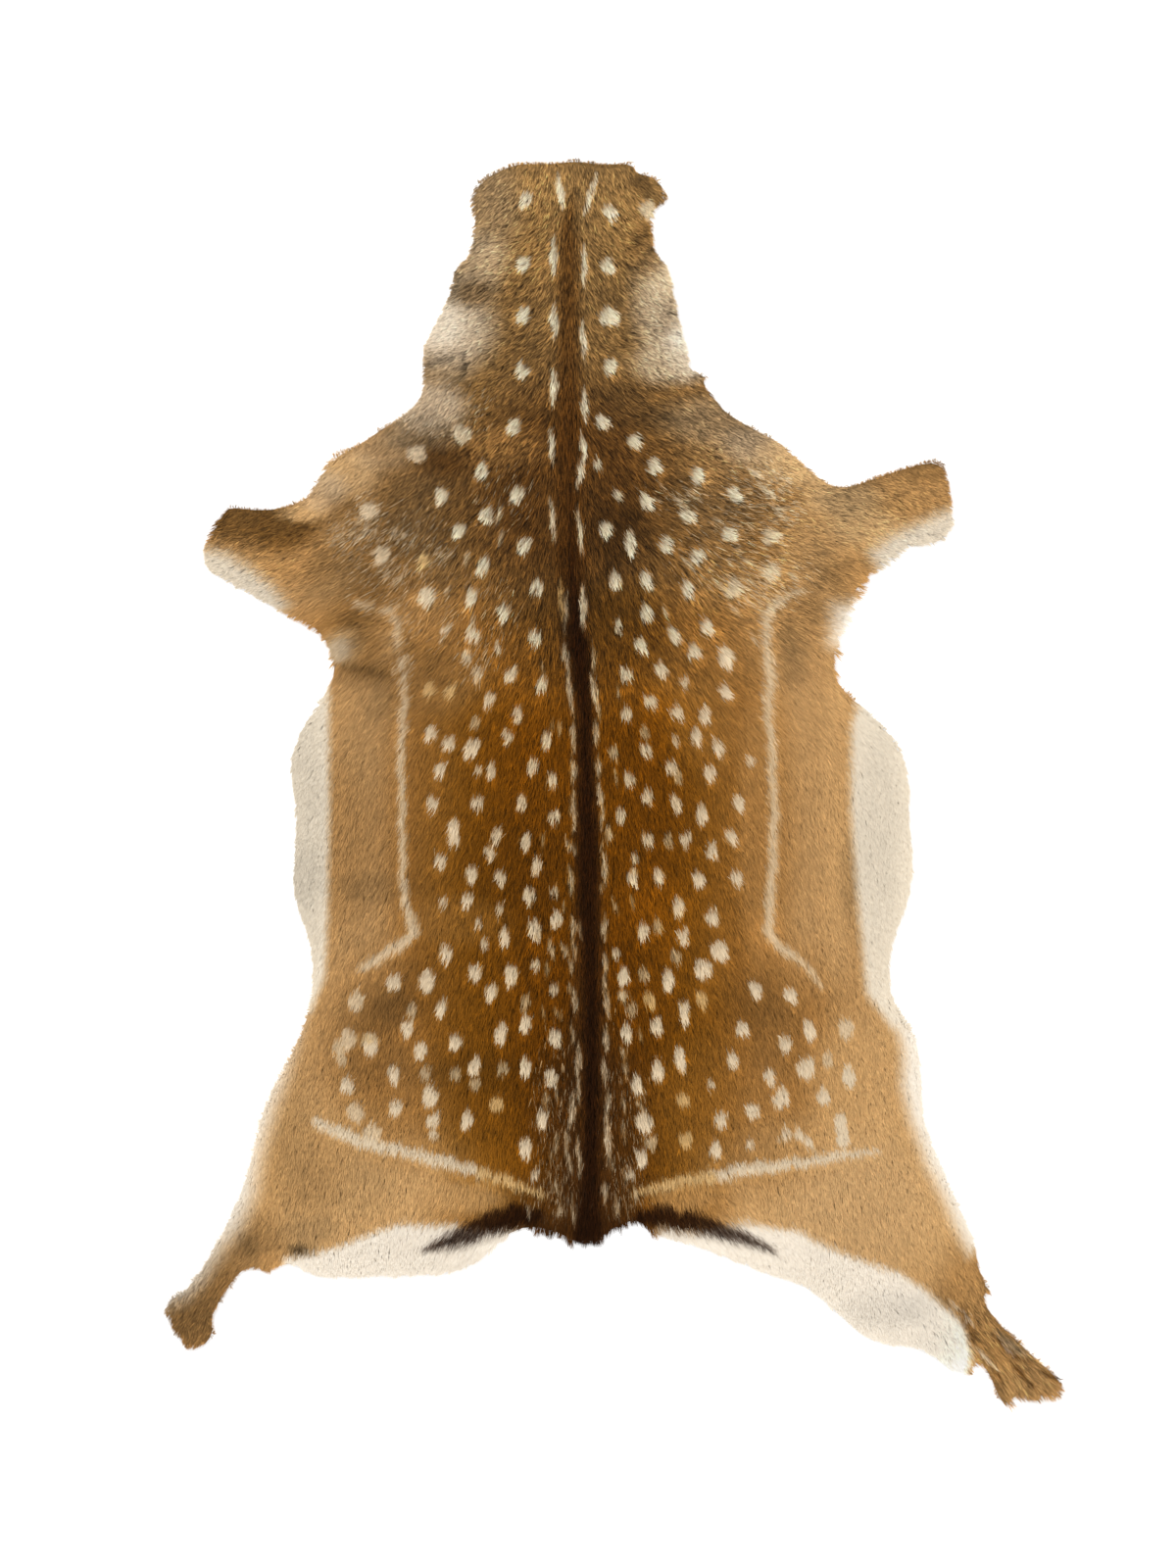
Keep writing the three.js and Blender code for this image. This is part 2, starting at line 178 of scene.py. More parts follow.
def rim_of(mesh):
    """The corners of the solid's lower rim in order, as an array of x and y."""
    shell = bmesh.new()
    shell.from_mesh(mesh)
    bmesh.ops.remove_doubles(shell, verts=shell.verts, dist=SAME_CORNER)
    beside = {}
    for edge in shell.edges:
        tilts = sorted(face.normal.z for face in edge.link_faces)
        if len(tilts) == 2 and tilts[0] < -STEEP and abs(tilts[1]) < STEEP:
            a, b = (vertex.index for vertex in edge.verts)
            beside.setdefault(a, []).append(b)
            beside.setdefault(b, []).append(a)
    shell.verts.ensure_lookup_table()
    start = min(beside)
    loop = [start]
    previous, current = start, beside[start][0]
    while current != start:
        loop.append(current)
        ahead = [other for other in beside[current] if other != previous]
        previous, current = current, ahead[0]
    corners = np.array([shell.verts[i].co[:2] for i in loop])
    shell.free()
    return corners


def torn(loop):
    """The rim with its ragged stretches set in."""
    for stretch in RAGGED_RIM:
        line = np.array([metres(*place) for place in stretch])
        first, last = (int(np.argmin(np.hypot(*(loop - end).T))) for end in (line[0], line[-1]))
        loop = np.roll(loop, -first, axis=0)
        last = (last - first) % len(loop)
        if last > len(loop) / 2:
            loop = np.roll(loop[::-1], 1, axis=0)
            last = len(loop) - last
        loop = np.concatenate([line, loop[last + 1:]])
    return loop


def signed_distance(x, y, loop):
    """Distance of each point to a closed outline, below nought inside it."""
    nearest = np.full(np.shape(x), np.inf)
    inside = np.zeros(np.shape(x), bool)
    for (ax, ay), (bx, by) in zip(loop, np.roll(loop, -1, axis=0)):
        dx, dy = bx - ax, by - ay
        length2 = dx * dx + dy * dy
        if length2 == 0:
            continue
        t = np.clip(((x - ax) * dx + (y - ay) * dy) / length2, 0, 1)
        nearest = np.minimum(nearest, (x - ax - t * dx) ** 2 + (y - ay - t * dy) ** 2)
        if dy:
            inside ^= ((ay > y) != (by > y)) & (x < ax + (y - ay) * dx / dy)
    return np.where(inside, -1, 1) * np.sqrt(nearest)


def smooth_step(t):
    """Nought up to nought and one from one on, with a smooth rise between them."""
    t = np.clip(t, 0, 1)
    return t * t * (3 - 2 * t)


rim = torn(rim_of(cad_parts["hide"].data))
chart_x = np.arange(low.x - CHART_MARGIN, high.x + CHART_MARGIN, CHART_STEP)
chart_y = np.arange(low.y - CHART_MARGIN, high.y + CHART_MARGIN, CHART_STEP)
grid_x, grid_y = np.meshgrid(chart_x, chart_y)
rim_chart = signed_distance(grid_x, grid_y, rim)


def softened(chart, weight):
    """The chart smoothed over the solid alone, so that nothing bleeds in over the rim."""
    layers = np.stack([chart * weight, weight])
    for _ in range(CHART_SMOOTHING):
        for axis in (1, 2):
            before, after = np.roll(layers, 1, axis), np.roll(layers, -1, axis)
            layers = (before + 2 * layers + after) / 4
    return layers[0] / np.maximum(layers[1], LEAST_WEIGHT)


def charted_heights():
    """The solid's underside and top, read on the chart and smoothed."""
    shell = bmesh.new()
    shell.from_mesh(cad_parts["hide"].data)
    tree = BVHTree.FromBMesh(shell)
    shell.free()
    under = np.zeros(grid_x.shape)
    top = np.full(grid_x.shape, NO_SOLID_TOP)
    met = np.zeros(grid_x.shape)
    for row, column in zip(*np.nonzero(rim_chart < 0)):
        x, y = grid_x[row, column], grid_y[row, column]
        up = tree.ray_cast((x, y, -1), (0, 0, 1))[0]
        down = tree.ray_cast((x, y, 1), (0, 0, -1))[0]
        if up and down:
            under[row, column], top[row, column] = up.z, down.z
            met[row, column] = 1
    return softened(under, met), softened(top, met)


under_chart, top_chart = charted_heights()


def read(chart, x, y):
    """The chart's value at each point, between its four nearest squares."""
    u = np.clip((x - chart_x[0]) / CHART_STEP, 0, len(chart_x) - SHORT_OF_LAST)
    v = np.clip((y - chart_y[0]) / CHART_STEP, 0, len(chart_y) - SHORT_OF_LAST)
    i, j = u.astype(int), v.astype(int)
    u, v = u - i, v - j
    near = chart[j, i] * (1 - u) + chart[j, i + 1] * u
    far = chart[j + 1, i] * (1 - u) + chart[j + 1, i + 1] * u
    return near * (1 - v) + far * v


def cut_line():
    """The skin's own rim: the solid's without its teeth of hair, and a little inside it."""
    line = rim.copy()
    for _ in range(CUT_SMOOTHING):
        line = (np.roll(line, 1, axis=0) + 2 * line + np.roll(line, -1, axis=0)) / 4
    ahead = np.roll(line, -1, axis=0) - np.roll(line, 1, axis=0)
    side = np.stack([ahead[:, 1], -ahead[:, 0]], 1)
    side /= np.linalg.norm(side, axis=1)[:, None]
    probe = line + side * SKIN_INSET
    outward = read(rim_chart, probe[:, 0], probe[:, 1]).mean() > 0
    return line - side * SKIN_INSET if outward else line + side * SKIN_INSET


def skin_surface():
    """The skin's lower face, as points and triangles."""
    line = cut_line()
    columns = np.arange(low.x, high.x, SKIN_STEP)
    rows = np.arange(low.y, high.y, ROW_STEP)
    x, y = np.meshgrid(columns, rows)
    x[1::2] += SKIN_STEP / 2
    kept = signed_distance(x, y, line) < -RIM_CLEARANCE
    inner = np.stack([x[kept], y[kept]], 1)
    flat = np.concatenate([line, inner])
    edges = [(i, (i + 1) % len(line)) for i in range(len(line))]
    points, _, faces, _, _, _ = delaunay_2d_cdt(
        flat.tolist(), edges, [], INSIDE_ONLY, LEAST_LENGTH
    )
    points = np.array([tuple(point) for point in points])
    heights = read(under_chart, points[:, 0], points[:, 1])
    return np.column_stack([points, heights]), faces


def add_node(material, kind, **sockets):
    """A node of a material, with the values of its sockets."""
    node = material.node_tree.nodes.new(kind)
    for socket, value in sockets.items():
        node.inputs[socket].default_value = value
    return node


def feed(source, output, node, socket):
    """Link one node's output to a socket of another."""
    source.id_data.links.new(source.outputs[output], node.inputs[socket])


def suede_finish():
    """Cream suede: a soft mottle, a fine nap and shallow wrinkles."""
    suede, shader = new_finish("flesh_suede", roughness=0.95, specular=0.15)
    place = add_node(suede, "ShaderNodeTexCoord")
    mottle = add_node(suede, "ShaderNodeTexNoise", Scale=9.0, Detail=6.0)
    nap = add_node(suede, "ShaderNodeTexNoise", Scale=700.0, Detail=3.0)
    wrinkles = add_node(suede, "ShaderNodeTexNoise", Scale=38.0, Distortion=1.4)
    tint = add_node(suede, "ShaderNodeValToRGB")
    for end, (position, colour) in zip(tint.color_ramp.elements, FLESH_TINTS):
        end.position = position
        end.color = colour
    fine = add_node(suede, "ShaderNodeBump", Strength=0.35, Distance=0.0004)
    coarse = add_node(suede, "ShaderNodeBump", Strength=0.5, Distance=0.0012)
    for texture in (mottle, nap, wrinkles):
        feed(place, "Object", texture, "Vector")
    feed(mottle, "Fac", tint, "Fac")
    feed(tint, "Color", shader, "Base Color")
    feed(wrinkles, "Fac", coarse, "Height")
    feed(nap, "Fac", fine, "Height")
    feed(coarse, "Normal", fine, "Normal")
    feed(fine, "Normal", shader, "Normal")
    return suede


def own_colour(material):
    """A node that gives the colour stored at each corner of the mesh."""
    own = add_node(material, "ShaderNodeAttribute")
    own.attribute_name = CORNER_COLOUR
    return own


def undercoat_finish():
    """The hair side of the skin, which has the colour of the hair that stands in it."""
    undercoat, shader = new_finish("undercoat", roughness=0.9, specular=0.1)
    feed(own_colour(undercoat), "Color", shader, "Base Color")
    return undercoat


points, faces = skin_surface()
skin_mesh = bpy.data.meshes.new("skin")
skin_mesh.from_pydata(points.tolist(), [], faces)
skin = bpy.data.objects.new("skin", skin_mesh)
bpy.context.collection.objects.link(skin)
bpy.context.view_layer.objects.active = skin
skin.select_set(True)
bpy.ops.object.mode_set(mode="EDIT")
bpy.ops.mesh.select_all(action="SELECT")
bpy.ops.mesh.normals_make_consistent(inside=False)
bpy.ops.object.mode_set(mode="OBJECT")
if skin.data.polygons[0].normal.z < 0:
    skin.data.flip_normals()
solidify = skin.modifiers.new("thickness", "SOLIDIFY")
solidify.thickness = SKIN_THICKNESS
solidify.offset = 1
bpy.ops.object.modifier_apply(modifier="thickness")
skin.data.materials.append(suede_finish())
skin.data.materials.append(undercoat_finish())
for face in skin.data.polygons:
    face.material_index = int(face.normal.z > -STEEP)
    face.use_smooth = abs(face.normal.z) > STEEP
bpy.ops.object.select_all(action="DESELECT")
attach(skin, "root")
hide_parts("hide")

# The combing. Deer hair is 8 to 25 mm long, lies flat and points towards the tail, and on the
# neck, the shoulders and the legs it turns outwards. Each guide gives, at its place, how far the
# hair leans outwards from straight tailwards, in degrees, and how long it is, in millimetres.
COMBING = [
    # across, along, lean, length
    (-1.7, 1, 0, 10), (-5, 1, 20, 8), (-8.5, 2, 45, 7), (3, 1, 25, 9), (5, 3, 45, 9),
    (-1.8, 8, 0, 13), (-4, 8, 48, 10), (-8, 8, 60, 8), (1, 8, 40, 10), (5, 8, 58, 9),
    (-1.8, 16, 0, 14), (-4, 16, 52, 10), (-8, 16, 62, 9), (-13, 16, 64, 7),
    (1, 16, 48, 10), (4, 16, 64, 9), (8, 16, 62, 7),
    (-1.8, 24, 0, 15), (-5, 24, 48, 12), (-12, 24, 40, 8), (-18, 27, 45, 8),
    (1, 24, 45, 12), (6, 24, 62, 11), (12, 25, 60, 8), (18, 28, 62, 9),
    (-1.7, 32, 0, 17), (-6, 32, 30, 14), (-13, 32, 38, 12), (-20, 32, 48, 10), (-28, 35, 62, 9),
    (-33, 35, 66, 8), (2, 32, 32, 14), (8, 32, 60, 14), (14, 33, 70, 13), (21, 33, 72, 12),
    (28, 31, 66, 9), (32, 30, 60, 8),
    (-1.4, 40, 0, 18), (-7, 40, 24, 16), (-14, 40, 38, 16), (-21, 41, 58, 15),
    (2, 40, 18, 16), (8, 40, 40, 16), (14, 40, 58, 16), (20, 40, 64, 15), (24, 40, 66, 13),
    (0, 48, 0, 15), (-8, 48, 22, 15), (-15, 47, 42, 15), (-21, 49, 34, 13), (-25, 53, 28, 12),
    (8, 48, 30, 15), (15, 47, 44, 15), (21, 48, 40, 14), (26, 53, 36, 12),
    (0, 60, 0, 14), (-8, 60, 14, 14), (-15, 60, 24, 14), (-22, 60, 18, 12), (-26, 60, 14, 11),
    (8, 60, 18, 14), (15, 60, 26, 14), (22, 60, 20, 12), (28, 60, 18, 11),
    (0, 72, 0, 14), (-8, 72, 12, 14), (-15, 72, 20, 14), (-22, 72, 20, 12),
    (8, 72, 16, 14), (15, 72, 26, 14), (22, 72, 20, 12),
    (0, 84, 0, 14), (-8, 84, 8, 13), (-16, 84, 16, 13), (-25, 86, 14, 11), (-29, 88, 12, 10),
    (8, 84, 12, 13), (16, 84, 20, 13), (25, 86, 16, 11), (30, 90, 18, 10),
    (0, 94, 0, 16), (-8, 94, 4, 13), (-18, 94, 4, 11), (-28, 94, 12, 10), (-33, 100, 32, 10),
    (8, 94, 8, 13), (18, 95, 8, 11), (28, 97, 14, 11), (34, 101, 26, 11),
    (0, 99, 0, 17), (-3, 97.5, 6, 15), (-7, 97, 18, 15), (-12, 98, 34, 15), (-15, 101, 14, 9),
    (-20, 101, 0, 9), (-36, 106, 30, 10), (3, 97.5, 8, 15), (7, 97, 20, 15), (12, 98, 38, 15),
    (16, 99, 44, 14), (15, 101.5, 14, 9), (22, 104, 6, 10), (30, 107, 24, 10), (38, 109, 42, 14),
    (42, 113, 44, 14),
]
COMB_BLEND = 1.5  # the larger, the more softly one guide gives way to the next
MILLIMETRES = 1000  # in a metre


def combed(across, along):
    """The lean outwards, in radians to the right, and the length in metres, at each place."""
    pulls = np.zeros((3,) + np.shape(across))
    total = np.zeros(np.shape(across))
    for guide_across, guide_along, lean, length in COMBING:
        turn = np.radians(lean) * (1 if guide_across > 0 else -1)
        gap2 = (across - guide_across) ** 2 + (along - guide_along) ** 2
        weight = 1 / (gap2 + COMB_BLEND) ** 2
        pull = np.array([np.sin(turn), np.cos(turn), length / MILLIMETRES])
        pulls += weight * pull.reshape(3, 1)
        total += weight
    return np.arctan2(pulls[0], pulls[1]), pulls[2] / total


# The coat's colours, as they look in even light, from 0 to 1 in red, green and blue.
HAIR = {
    "saddle": (0.475, 0.29, 0.05),
    "umber": (0.385, 0.21, 0.0),
    "golden": (0.61, 0.41, 0.18),
    "tan": (0.75, 0.58, 0.37),
    "fawn": (0.815, 0.645, 0.425),
    "apricot": (0.81, 0.665, 0.47),
    "neck": (0.545, 0.415, 0.245),
    "withers": (0.455, 0.33, 0.18),
    "ash": (0.76, 0.68, 0.575),
    "slate": (0.52, 0.445, 0.345),
    "foreleg": (0.42, 0.295, 0.145),
    "hock": (0.57, 0.42, 0.24),
    "mane": (0.29, 0.17, 0.05),
    "black": (0.10, 0.035, 0.0),
    "cream": (0.875, 0.795, 0.67),
    "honey": (0.84, 0.69, 0.46),
    "belly": (0.955, 0.91, 0.84),
    "underside": (0.91, 0.855, 0.765),
    "shank": (0.82, 0.765, 0.68),
    "frost": (0.87, 0.80, 0.68),
}

# Soft areas, painted over the tan coat in this order: hair, across, along, half width, half
# length and how strong it is at its middle. A row that ends with one number more has a crisper
# edge: that is the share of the half size that the edge fades over.
AREA_FADE = 0.9
AREAS = [
    ("fawn", -21, 94, 17, 8, 1.0, 0.6), ("fawn", 22, 95, 17, 9, 1.0, 0.6),
    ("hock", -31.5, 100.5, 4, 4, 0.6), ("hock", -36, 106, 5, 5, 0.9, 0.6),
    ("hock", 36, 106, 4, 7, 0.7, 0.7), ("hock", 40, 111, 5, 4, 0.4, 0.5),
    ("golden", 0, 62, 18, 37, 0.9, 0.3), ("golden", -15, 82, 8, 9, 0.7),
    ("golden", 15, 83, 9, 10, 0.7), ("golden", -8, 96, 6, 3, 0.7), ("golden", 8, 96, 5, 3, 0.7),
    ("golden", -27, 92, 5, 5, 0.15), ("hock", -14.6, 56, 2.4, 15, 0.25),
    ("saddle", -1, 67, 13, 33, 1.0, 0.75), ("saddle", 0, 85, 12, 13, 0.9, 0.8),
    ("umber", 0, 60, 9, 24, 0.6), ("umber", 0, 83, 7, 12, 0.6), ("fawn", 25, 85, 4.6, 6.5, 0.75),
    ("fawn", 20, 90, 5, 2.4, 0.4), ("fawn", 22.9, 60, 1.6, 15, 0.45),
    ("tan", 15.6, 61, 1.8, 13, 0.35), ("ash", 25, 96, 7, 6, 0.1), ("hock", 11, 52, 3.4, 4, 0.25),
    ("hock", 12, 87, 7, 6, 0.22), ("hock", -12, 70, 4.4, 2.2, 0.35),
    ("golden", -23, 63, 3.6, 7, 0.2), ("hock", -18, 87, 5, 5, 0.12), ("mane", 0, 96, 8, 3, 0.55),
    ("mane", -0.3, 98, 7.4, 1.6, 0.7), ("neck", -1, 8, 16, 24, 1.0, 0.5),
    ("golden", -1, 36, 23, 13, 0.8, 0.7), ("ash", -9.8, 5, 3.4, 6, 0.3),
    ("withers", -5, 14, 4, 8, 0.4), ("withers", 2.6, 15, 3.4, 9, 0.25),
    ("withers", -1, 31, 19, 12, 0.85, 0.8), ("mane", -1.6, 31, 8, 9, 0.6),
    ("mane", -13.4, 26.8, 3.4, 2.4, 0.5), ("golden", -20, 41, 6, 6, 0.5, 0.8),
    ("withers", -21, 42.4, 2.4, 1.2, 0.5), ("mane", 0.3, 89, 5, 9, 0.75),
    ("tan", 19, 42, 5, 6, 0.5, 0.8), ("tan", 25, 35, 7, 6, 1.0, 0.7),
    ("tan", -25.5, 37, 4.5, 5, 0.9, 0.8), ("tan", -20.6, 44.8, 4, 1.8, 0.8),
    # The apricot and white at the left armpit, over the crease, are partly the fur's own paler
    # colour and partly painted highlight on the fur that bulges there.
    ("apricot", -22.6, 44.9, 1.8, 1.5, 1.0), ("belly", -22.8, 45.1, 1.1, 1.0, 0.4),
    ("hock", -30.5, 33.4, 6, 2.8, 0.9, 0.8), ("foreleg", -31, 33, 6, 1.8, 0.85),
    ("foreleg", -28.2, 33.8, 2.8, 2, 0.9), ("hock", 29.5, 30.2, 6.5, 2.8, 0.5, 0.8),
    ("foreleg", 31.5, 28.4, 3, 1.4, 0.3), ("golden", -26, 36.5, 4, 2.4, 0.2),
    ("apricot", -22.4, 29, 3, 2.2, 0.75), ("apricot", -26.2, 32.4, 2.4, 0.9, 0.65),
    ("ash", -18.8, 26.8, 3, 1.8, 0.3), ("slate", 13, 26.6, 3.4, 2.2, 0.2),
    ("slate", -16.5, 38.5, 4.6, 5, 0.25), ("slate", 14, 37, 4.4, 8, 0.1),
    ("hock", -8, 26.6, 4, 2, 0.5), ("hock", 11, 27.4, 3, 2, 0.4), ("hock", -13.6, 47, 4, 4, 0.6),
    ("ash", -24.4, 30.4, 2.2, 1.8, 0.45), ("ash", 15.6, 26.4, 3.2, 1.8, 0.5),
    ("ash", 13, 31, 5, 4, 0.08), ("ash", -17.5, 31, 4, 4, 0.1), ("tan", -15.3, 42, 4, 2, 0.3),
    ("tan", 12.4, 38.4, 3, 3, 0.24), ("hock", 10, 46.6, 4.5, 3, 0.25),
    ("umber", 0, 44.5, 7, 5, 0.25), ("saddle", 3.6, 43, 4, 4, 0.3), ("hock", 14, 45, 2.2, 4, 0.3),
    ("golden", -20.4, 44.8, 1.6, 1.8, 0.3), ("fawn", -11.4, 95.3, 3.8, 1.5, 0.7),
    ("fawn", 8.8, 95.2, 3, 1.5, 0.5), ("apricot", 19.6, 28, 4, 2.2, 0.8),
    ("apricot", 23.4, 31.2, 3.4, 1.6, 0.7), ("apricot", 25.5, 33.8, 3.4, 1.6, 0.6),
    ("hock", 24.5, 38.2, 3, 1.8, 0.5), ("ash", -10.5, 9.4, 3, 2.6, 0.4),
    ("ash", -13.2, 15.6, 4.5, 4, 0.9, 0.8), ("ash", -14.8, 22.8, 3.6, 2.4, 0.8, 0.8),
    ("slate", -11.4, 12, 3, 1.6, 0.75), ("withers", -10.4, 12.4, 1.6, 1.1, 0.45),
    ("slate", -13, 19.4, 2.4, 1.4, 0.45), ("slate", -15, 25.2, 4, 1.6, 0.55),
    ("belly", -13.8, 15.2, 2.4, 2.2, 0.5), ("ash", 8.2, 13.4, 3.8, 5.4, 0.8),
    ("slate", 6.4, 14.2, 2, 2.4, 0.35), ("withers", 8.8, 22.4, 5, 2.6, 0.8),
    ("slate", 12, 24, 5, 2.4, 0.6), ("belly", 9.4, 17.6, 2.2, 2.6, 0.7),
    ("apricot", 6, 18.8, 3, 1.4, 0.3), ("ash", 7, 18.8, 2.6, 2, 0.6),
    ("withers", 5.4, 8.2, 1.6, 2.6, 0.5), ("withers", 5, 2.4, 1.0, 0.8, 0.5),
]

# Pale hair: the belly, the insides of the thighs, the rump and, greyer, the shanks of the
# forelegs. Each has its hair, the width of its soft edge and an outline that runs past the rim.
PALE_AREAS = [
    ("underside", 1.1, [(-23.8, 47), (-23.7, 60), (-23.9, 70), (-24.1, 75), (-25.4, 78.4),
        (-30, 77), (-30, 47)]),
    ("belly", 3.0, [(-26.4, 79), (-27.7, 84), (-28.9, 87.5), (-30.0, 91.5), (-30.6, 95),
        (-31.8, 97.8), (-33.5, 100), (-35.2, 102.6), (-36.8, 104.4), (-39, 105.3), (-44, 103),
        (-36, 80)]),
    ("underside", 1.3, [(25, 49.5), (24.2, 52), (24.1, 60), (24.6, 67), (25.1, 72), (25.5, 76.5),
        (27.8, 79.6), (33, 80.2), (33, 49)]),
    ("belly", 2.2, [(28.3, 79.4), (28.9, 82), (28.8, 85), (29.5, 88), (31.1, 92.4), (32.7, 95.6),
        (33.7, 98), (34.9, 100.4), (39, 98), (33, 79.2)]),
    ("belly", 0.9, [(-12.6, 97.9), (-17.5, 97.7), (-19.4, 98.4), (-22.1, 99.5), (-25, 100.4),
        (-28, 101), (-27, 106), (-5, 106), (-6, 98.3), (-9.2, 98.4)]),
    ("belly", 1.1, [(14.5, 97.6), (19.5, 98.4), (22, 99.8), (25, 101), (28.6, 102.2), (31, 103.8),
        (33, 105.5), (34.6, 107), (35.2, 110), (34, 114), (6, 104), (6.5, 98.2), (10, 98.6)]),
    ("shank", 2.0, [(-36, 35.5), (-33.2, 36.2), (-31.2, 37.4), (-29, 39.1), (-27.4, 41), (-30, 43),
        (-38, 38)]),
    ("shank", 1.9, [(34.4, 31.7), (31.6, 32.8), (29.6, 33.7), (27.6, 34.7), (25.8, 36.1),
        (27, 38.5), (36, 36)]),
    ("belly", 2.6, [(22.6, 41), (22.3, 44.6), (26, 45), (26, 40.6)]),
]

# Long marks: the hair, the width of the soft edge, the strength, and the line with its half
# width at each point. The broad dark stripe down the spine and a line of painted shadow in the
# crease behind the left foreleg lie under the spots. Over them come the stripe's black middle, a
# pale line down each side and over each thigh, the black bands beside the tail, and on the right
# hind foot dark lines of painted shade in its creases and three pale lines of painted highlight.
UNDER_LINES = [
    ("mane", 1.6, 0.67, [(-1.0, 2, -0.6), (-1.7, 5, 0.4), (-1.8, 8, 0.9), (-1.8, 24, 1.1),
        (-1.6, 36, 1.2)]),
    ("mane", 1.2, 0.8, [(-1.5, 36, 1.3), (-1.1, 45, 1.4), (-0.3, 53, 1.1), (0, 66, 1.3),
        (0.2, 96, 2.4)]),
    # A line of painted shadow under the fold behind the left foreleg.
    ("withers", 1.2, 0.8, [(-22.4, 46.6, 0.2), (-20.3, 47, 0.4), (-18, 47.6, 0.1)]),
]
LINES = [
    ("black", 1.2, 0.85, [(-1.8, 16, -0.6), (-1.7, 26, -0.3), (-1.5, 34, -0.05), (-1.4, 38, 0.15),
        (-1.2, 41, 0.4), (-1.0, 43.5, 0.7), (-0.8, 45, 0.8), (-0.6, 47, 0.65), (-0.3, 50, 0.6),
        (-0.2, 56, 0.6), (-0.1, 60, 0.75), (0, 64, 0.9), (0, 68, 0.85), (0.25, 74, 0.7),
        (0.35, 84, 0.62), (0.3, 90, 0.68), (0.1, 95, 0.85), (0, 98, 1.2), (-0.2, 101, 1.3)]),
    ("black", 1.8, 0.45, [(-8.4, 98.2, 0.1), (-6, 97.8, 0.5), (-2, 98.8, 0.6), (2, 98.4, 0.6),
        (4.6, 97.2, 0.5), (8.4, 98.2, 0.1)]),
    ("cream", 0.8, 0.6, [(-21.4, 40.8, 0.25), (-20.2, 41.1, 0.4), (-19.4, 41.4, 0.0),
        (-18.3, 41.8, 0.45), (-17.5, 42.6, 0.3), (-17.6, 43.6, 0.34), (-17.5, 45, 0.2)]),
    ("cream", 0.6, 0.8, [(-17.2, 45.8, 0.05), (-17, 46.4, 0.3), (-16.9, 47.2, 0.1),
        (-17.1, 48.4, 0.2), (-16.9, 49.6, 0.3), (-17.2, 54, 0.3), (-17.1, 60, 0.3),
        (-17, 66.2, 0.3), (-16.6, 69, 0.38), (-15.9, 71, 0.5), (-17.4, 72.3, 0.46),
        (-19.3, 73.4, 0.42), (-21.2, 74.4, 0.2)]),
    ("cream", 0.7, 0.75, [(19.8, 39.6, 0.15), (18, 40.3, 0.3), (16.9, 41.2, 0.4),
        (16.4, 42.6, 0.42), (16.5, 45.4, 0.36), (16.7, 46.4, 0.5), (16.8, 47.3, 0.46),
        (16.6, 50.2, 0.4), (16.9, 54.3, 0.36), (17.1, 60, 0.36), (16.9, 66, 0.4),
        (16.5, 70.8, 0.46), (17.4, 72.2, 0.42), (18.8, 73.1, 0.34), (20.2, 74.3, 0.26),
        (21.4, 76, 0.1)]),
    ("cream", 0.4, 1.0, [(-24.9, 88.4, 0.36), (-22.7, 89.3, 0.56), (-20.9, 90.2, 0.52),
        (-17.8, 90.9, 0.48), (-14.1, 91.8, 0.48), (-11.4, 92.6, 0.46), (-9.4, 93.2, 0.42)]),
    ("honey", 0.4, 1.0, [(-9.8, 93.1, 0.46), (-6.8, 94.1, 0.42), (-4.2, 95.1, 0.2)]),
    ("cream", 0.4, 1.0, [(26.6, 91, 0.16), (22.9, 91.5, 0.4), (19.6, 92.1, 0.44), (16.4, 92.5, 0.5),
        (13.5, 92.9, 0.5), (10.9, 93.5, 0.48)]),
    ("honey", 0.4, 1.0, [(11.4, 93.4, 0.46), (7.6, 94.1, 0.44), (4.2, 95, 0.22)]),
    ("black", 0.9, 0.95, [(-4.6, 97, 0.6), (-7, 97, 1.1), (-9, 97.7, 1.05), (-11, 98.7, 0.92),
        (-13, 99.4, 0.65), (-15, 100, 0.1)]),
    ("black", 0.9, 0.95, [(4.8, 97.2, 0.5), (7, 96.9, 0.95), (9, 97.5, 0.9), (11, 98, 0.8),
        (13, 98.6, 0.65), (15, 99.3, 0.45), (17.2, 100.2, 0.1)]),
    # The right hind foot: dark lines of painted shade along its creases.
    ("mane", 1.2, 0.5, [(34.3, 105.8, 0.2), (35.1, 107.4, 0.4), (35.6, 109, 0.1)]),
    ("slate", 0.9, 0.8, [(37.4, 107.9, 0.2), (38.6, 108.6, 0.5), (40.4, 109.9, 0.2)]),
    ("mane", 0.3, 0.9, [(36.9, 107.7, 0.06), (38.1, 109.1, 0.12), (39.5, 109.9, 0.14),
        (41, 110.6, 0.05)]),
    ("mane", 0.35, 0.9, [(38.8, 110.4, 0.06), (39.7, 111.5, 0.16), (40.9, 112.7, 0.06)]),
    ("mane", 0.35, 0.8, [(37.5, 111.2, 0.06), (37.8, 112, 0.12), (38.2, 113, 0.05)]),
    ("mane", 0.5, 0.9, [(41.9, 111.3, 0.06), (42.7, 111.8, 0.2), (43.4, 112.1, 0.2)]),
    # Three pale lines of painted highlight on the right hind foot.
    ("belly", 0.3, 0.6, [(33.2, 104.7, 0.05), (34.7, 106.3, 0.12), (35.6, 107.3, 0.03)]),
    ("belly", 0.3, 0.6, [(35.4, 109.1, 0.05), (36.6, 110.2, 0.14), (37.9, 111.3, 0.04)]),
    ("belly", 0.3, 0.7, [(38.3, 108.9, 0.03), (38.6, 109.2, 0.1), (39, 109.6, 0.03)]),
]
WAVER = 0.10  # how far a long mark wavers to either side of its line
WAVES_ALONG = (1.9, 0.7)
WAVES_ACROSS = (2.1, 0.6)
LINE_STRAY = 0.09
BLACK_AT_LEAST = 0.66

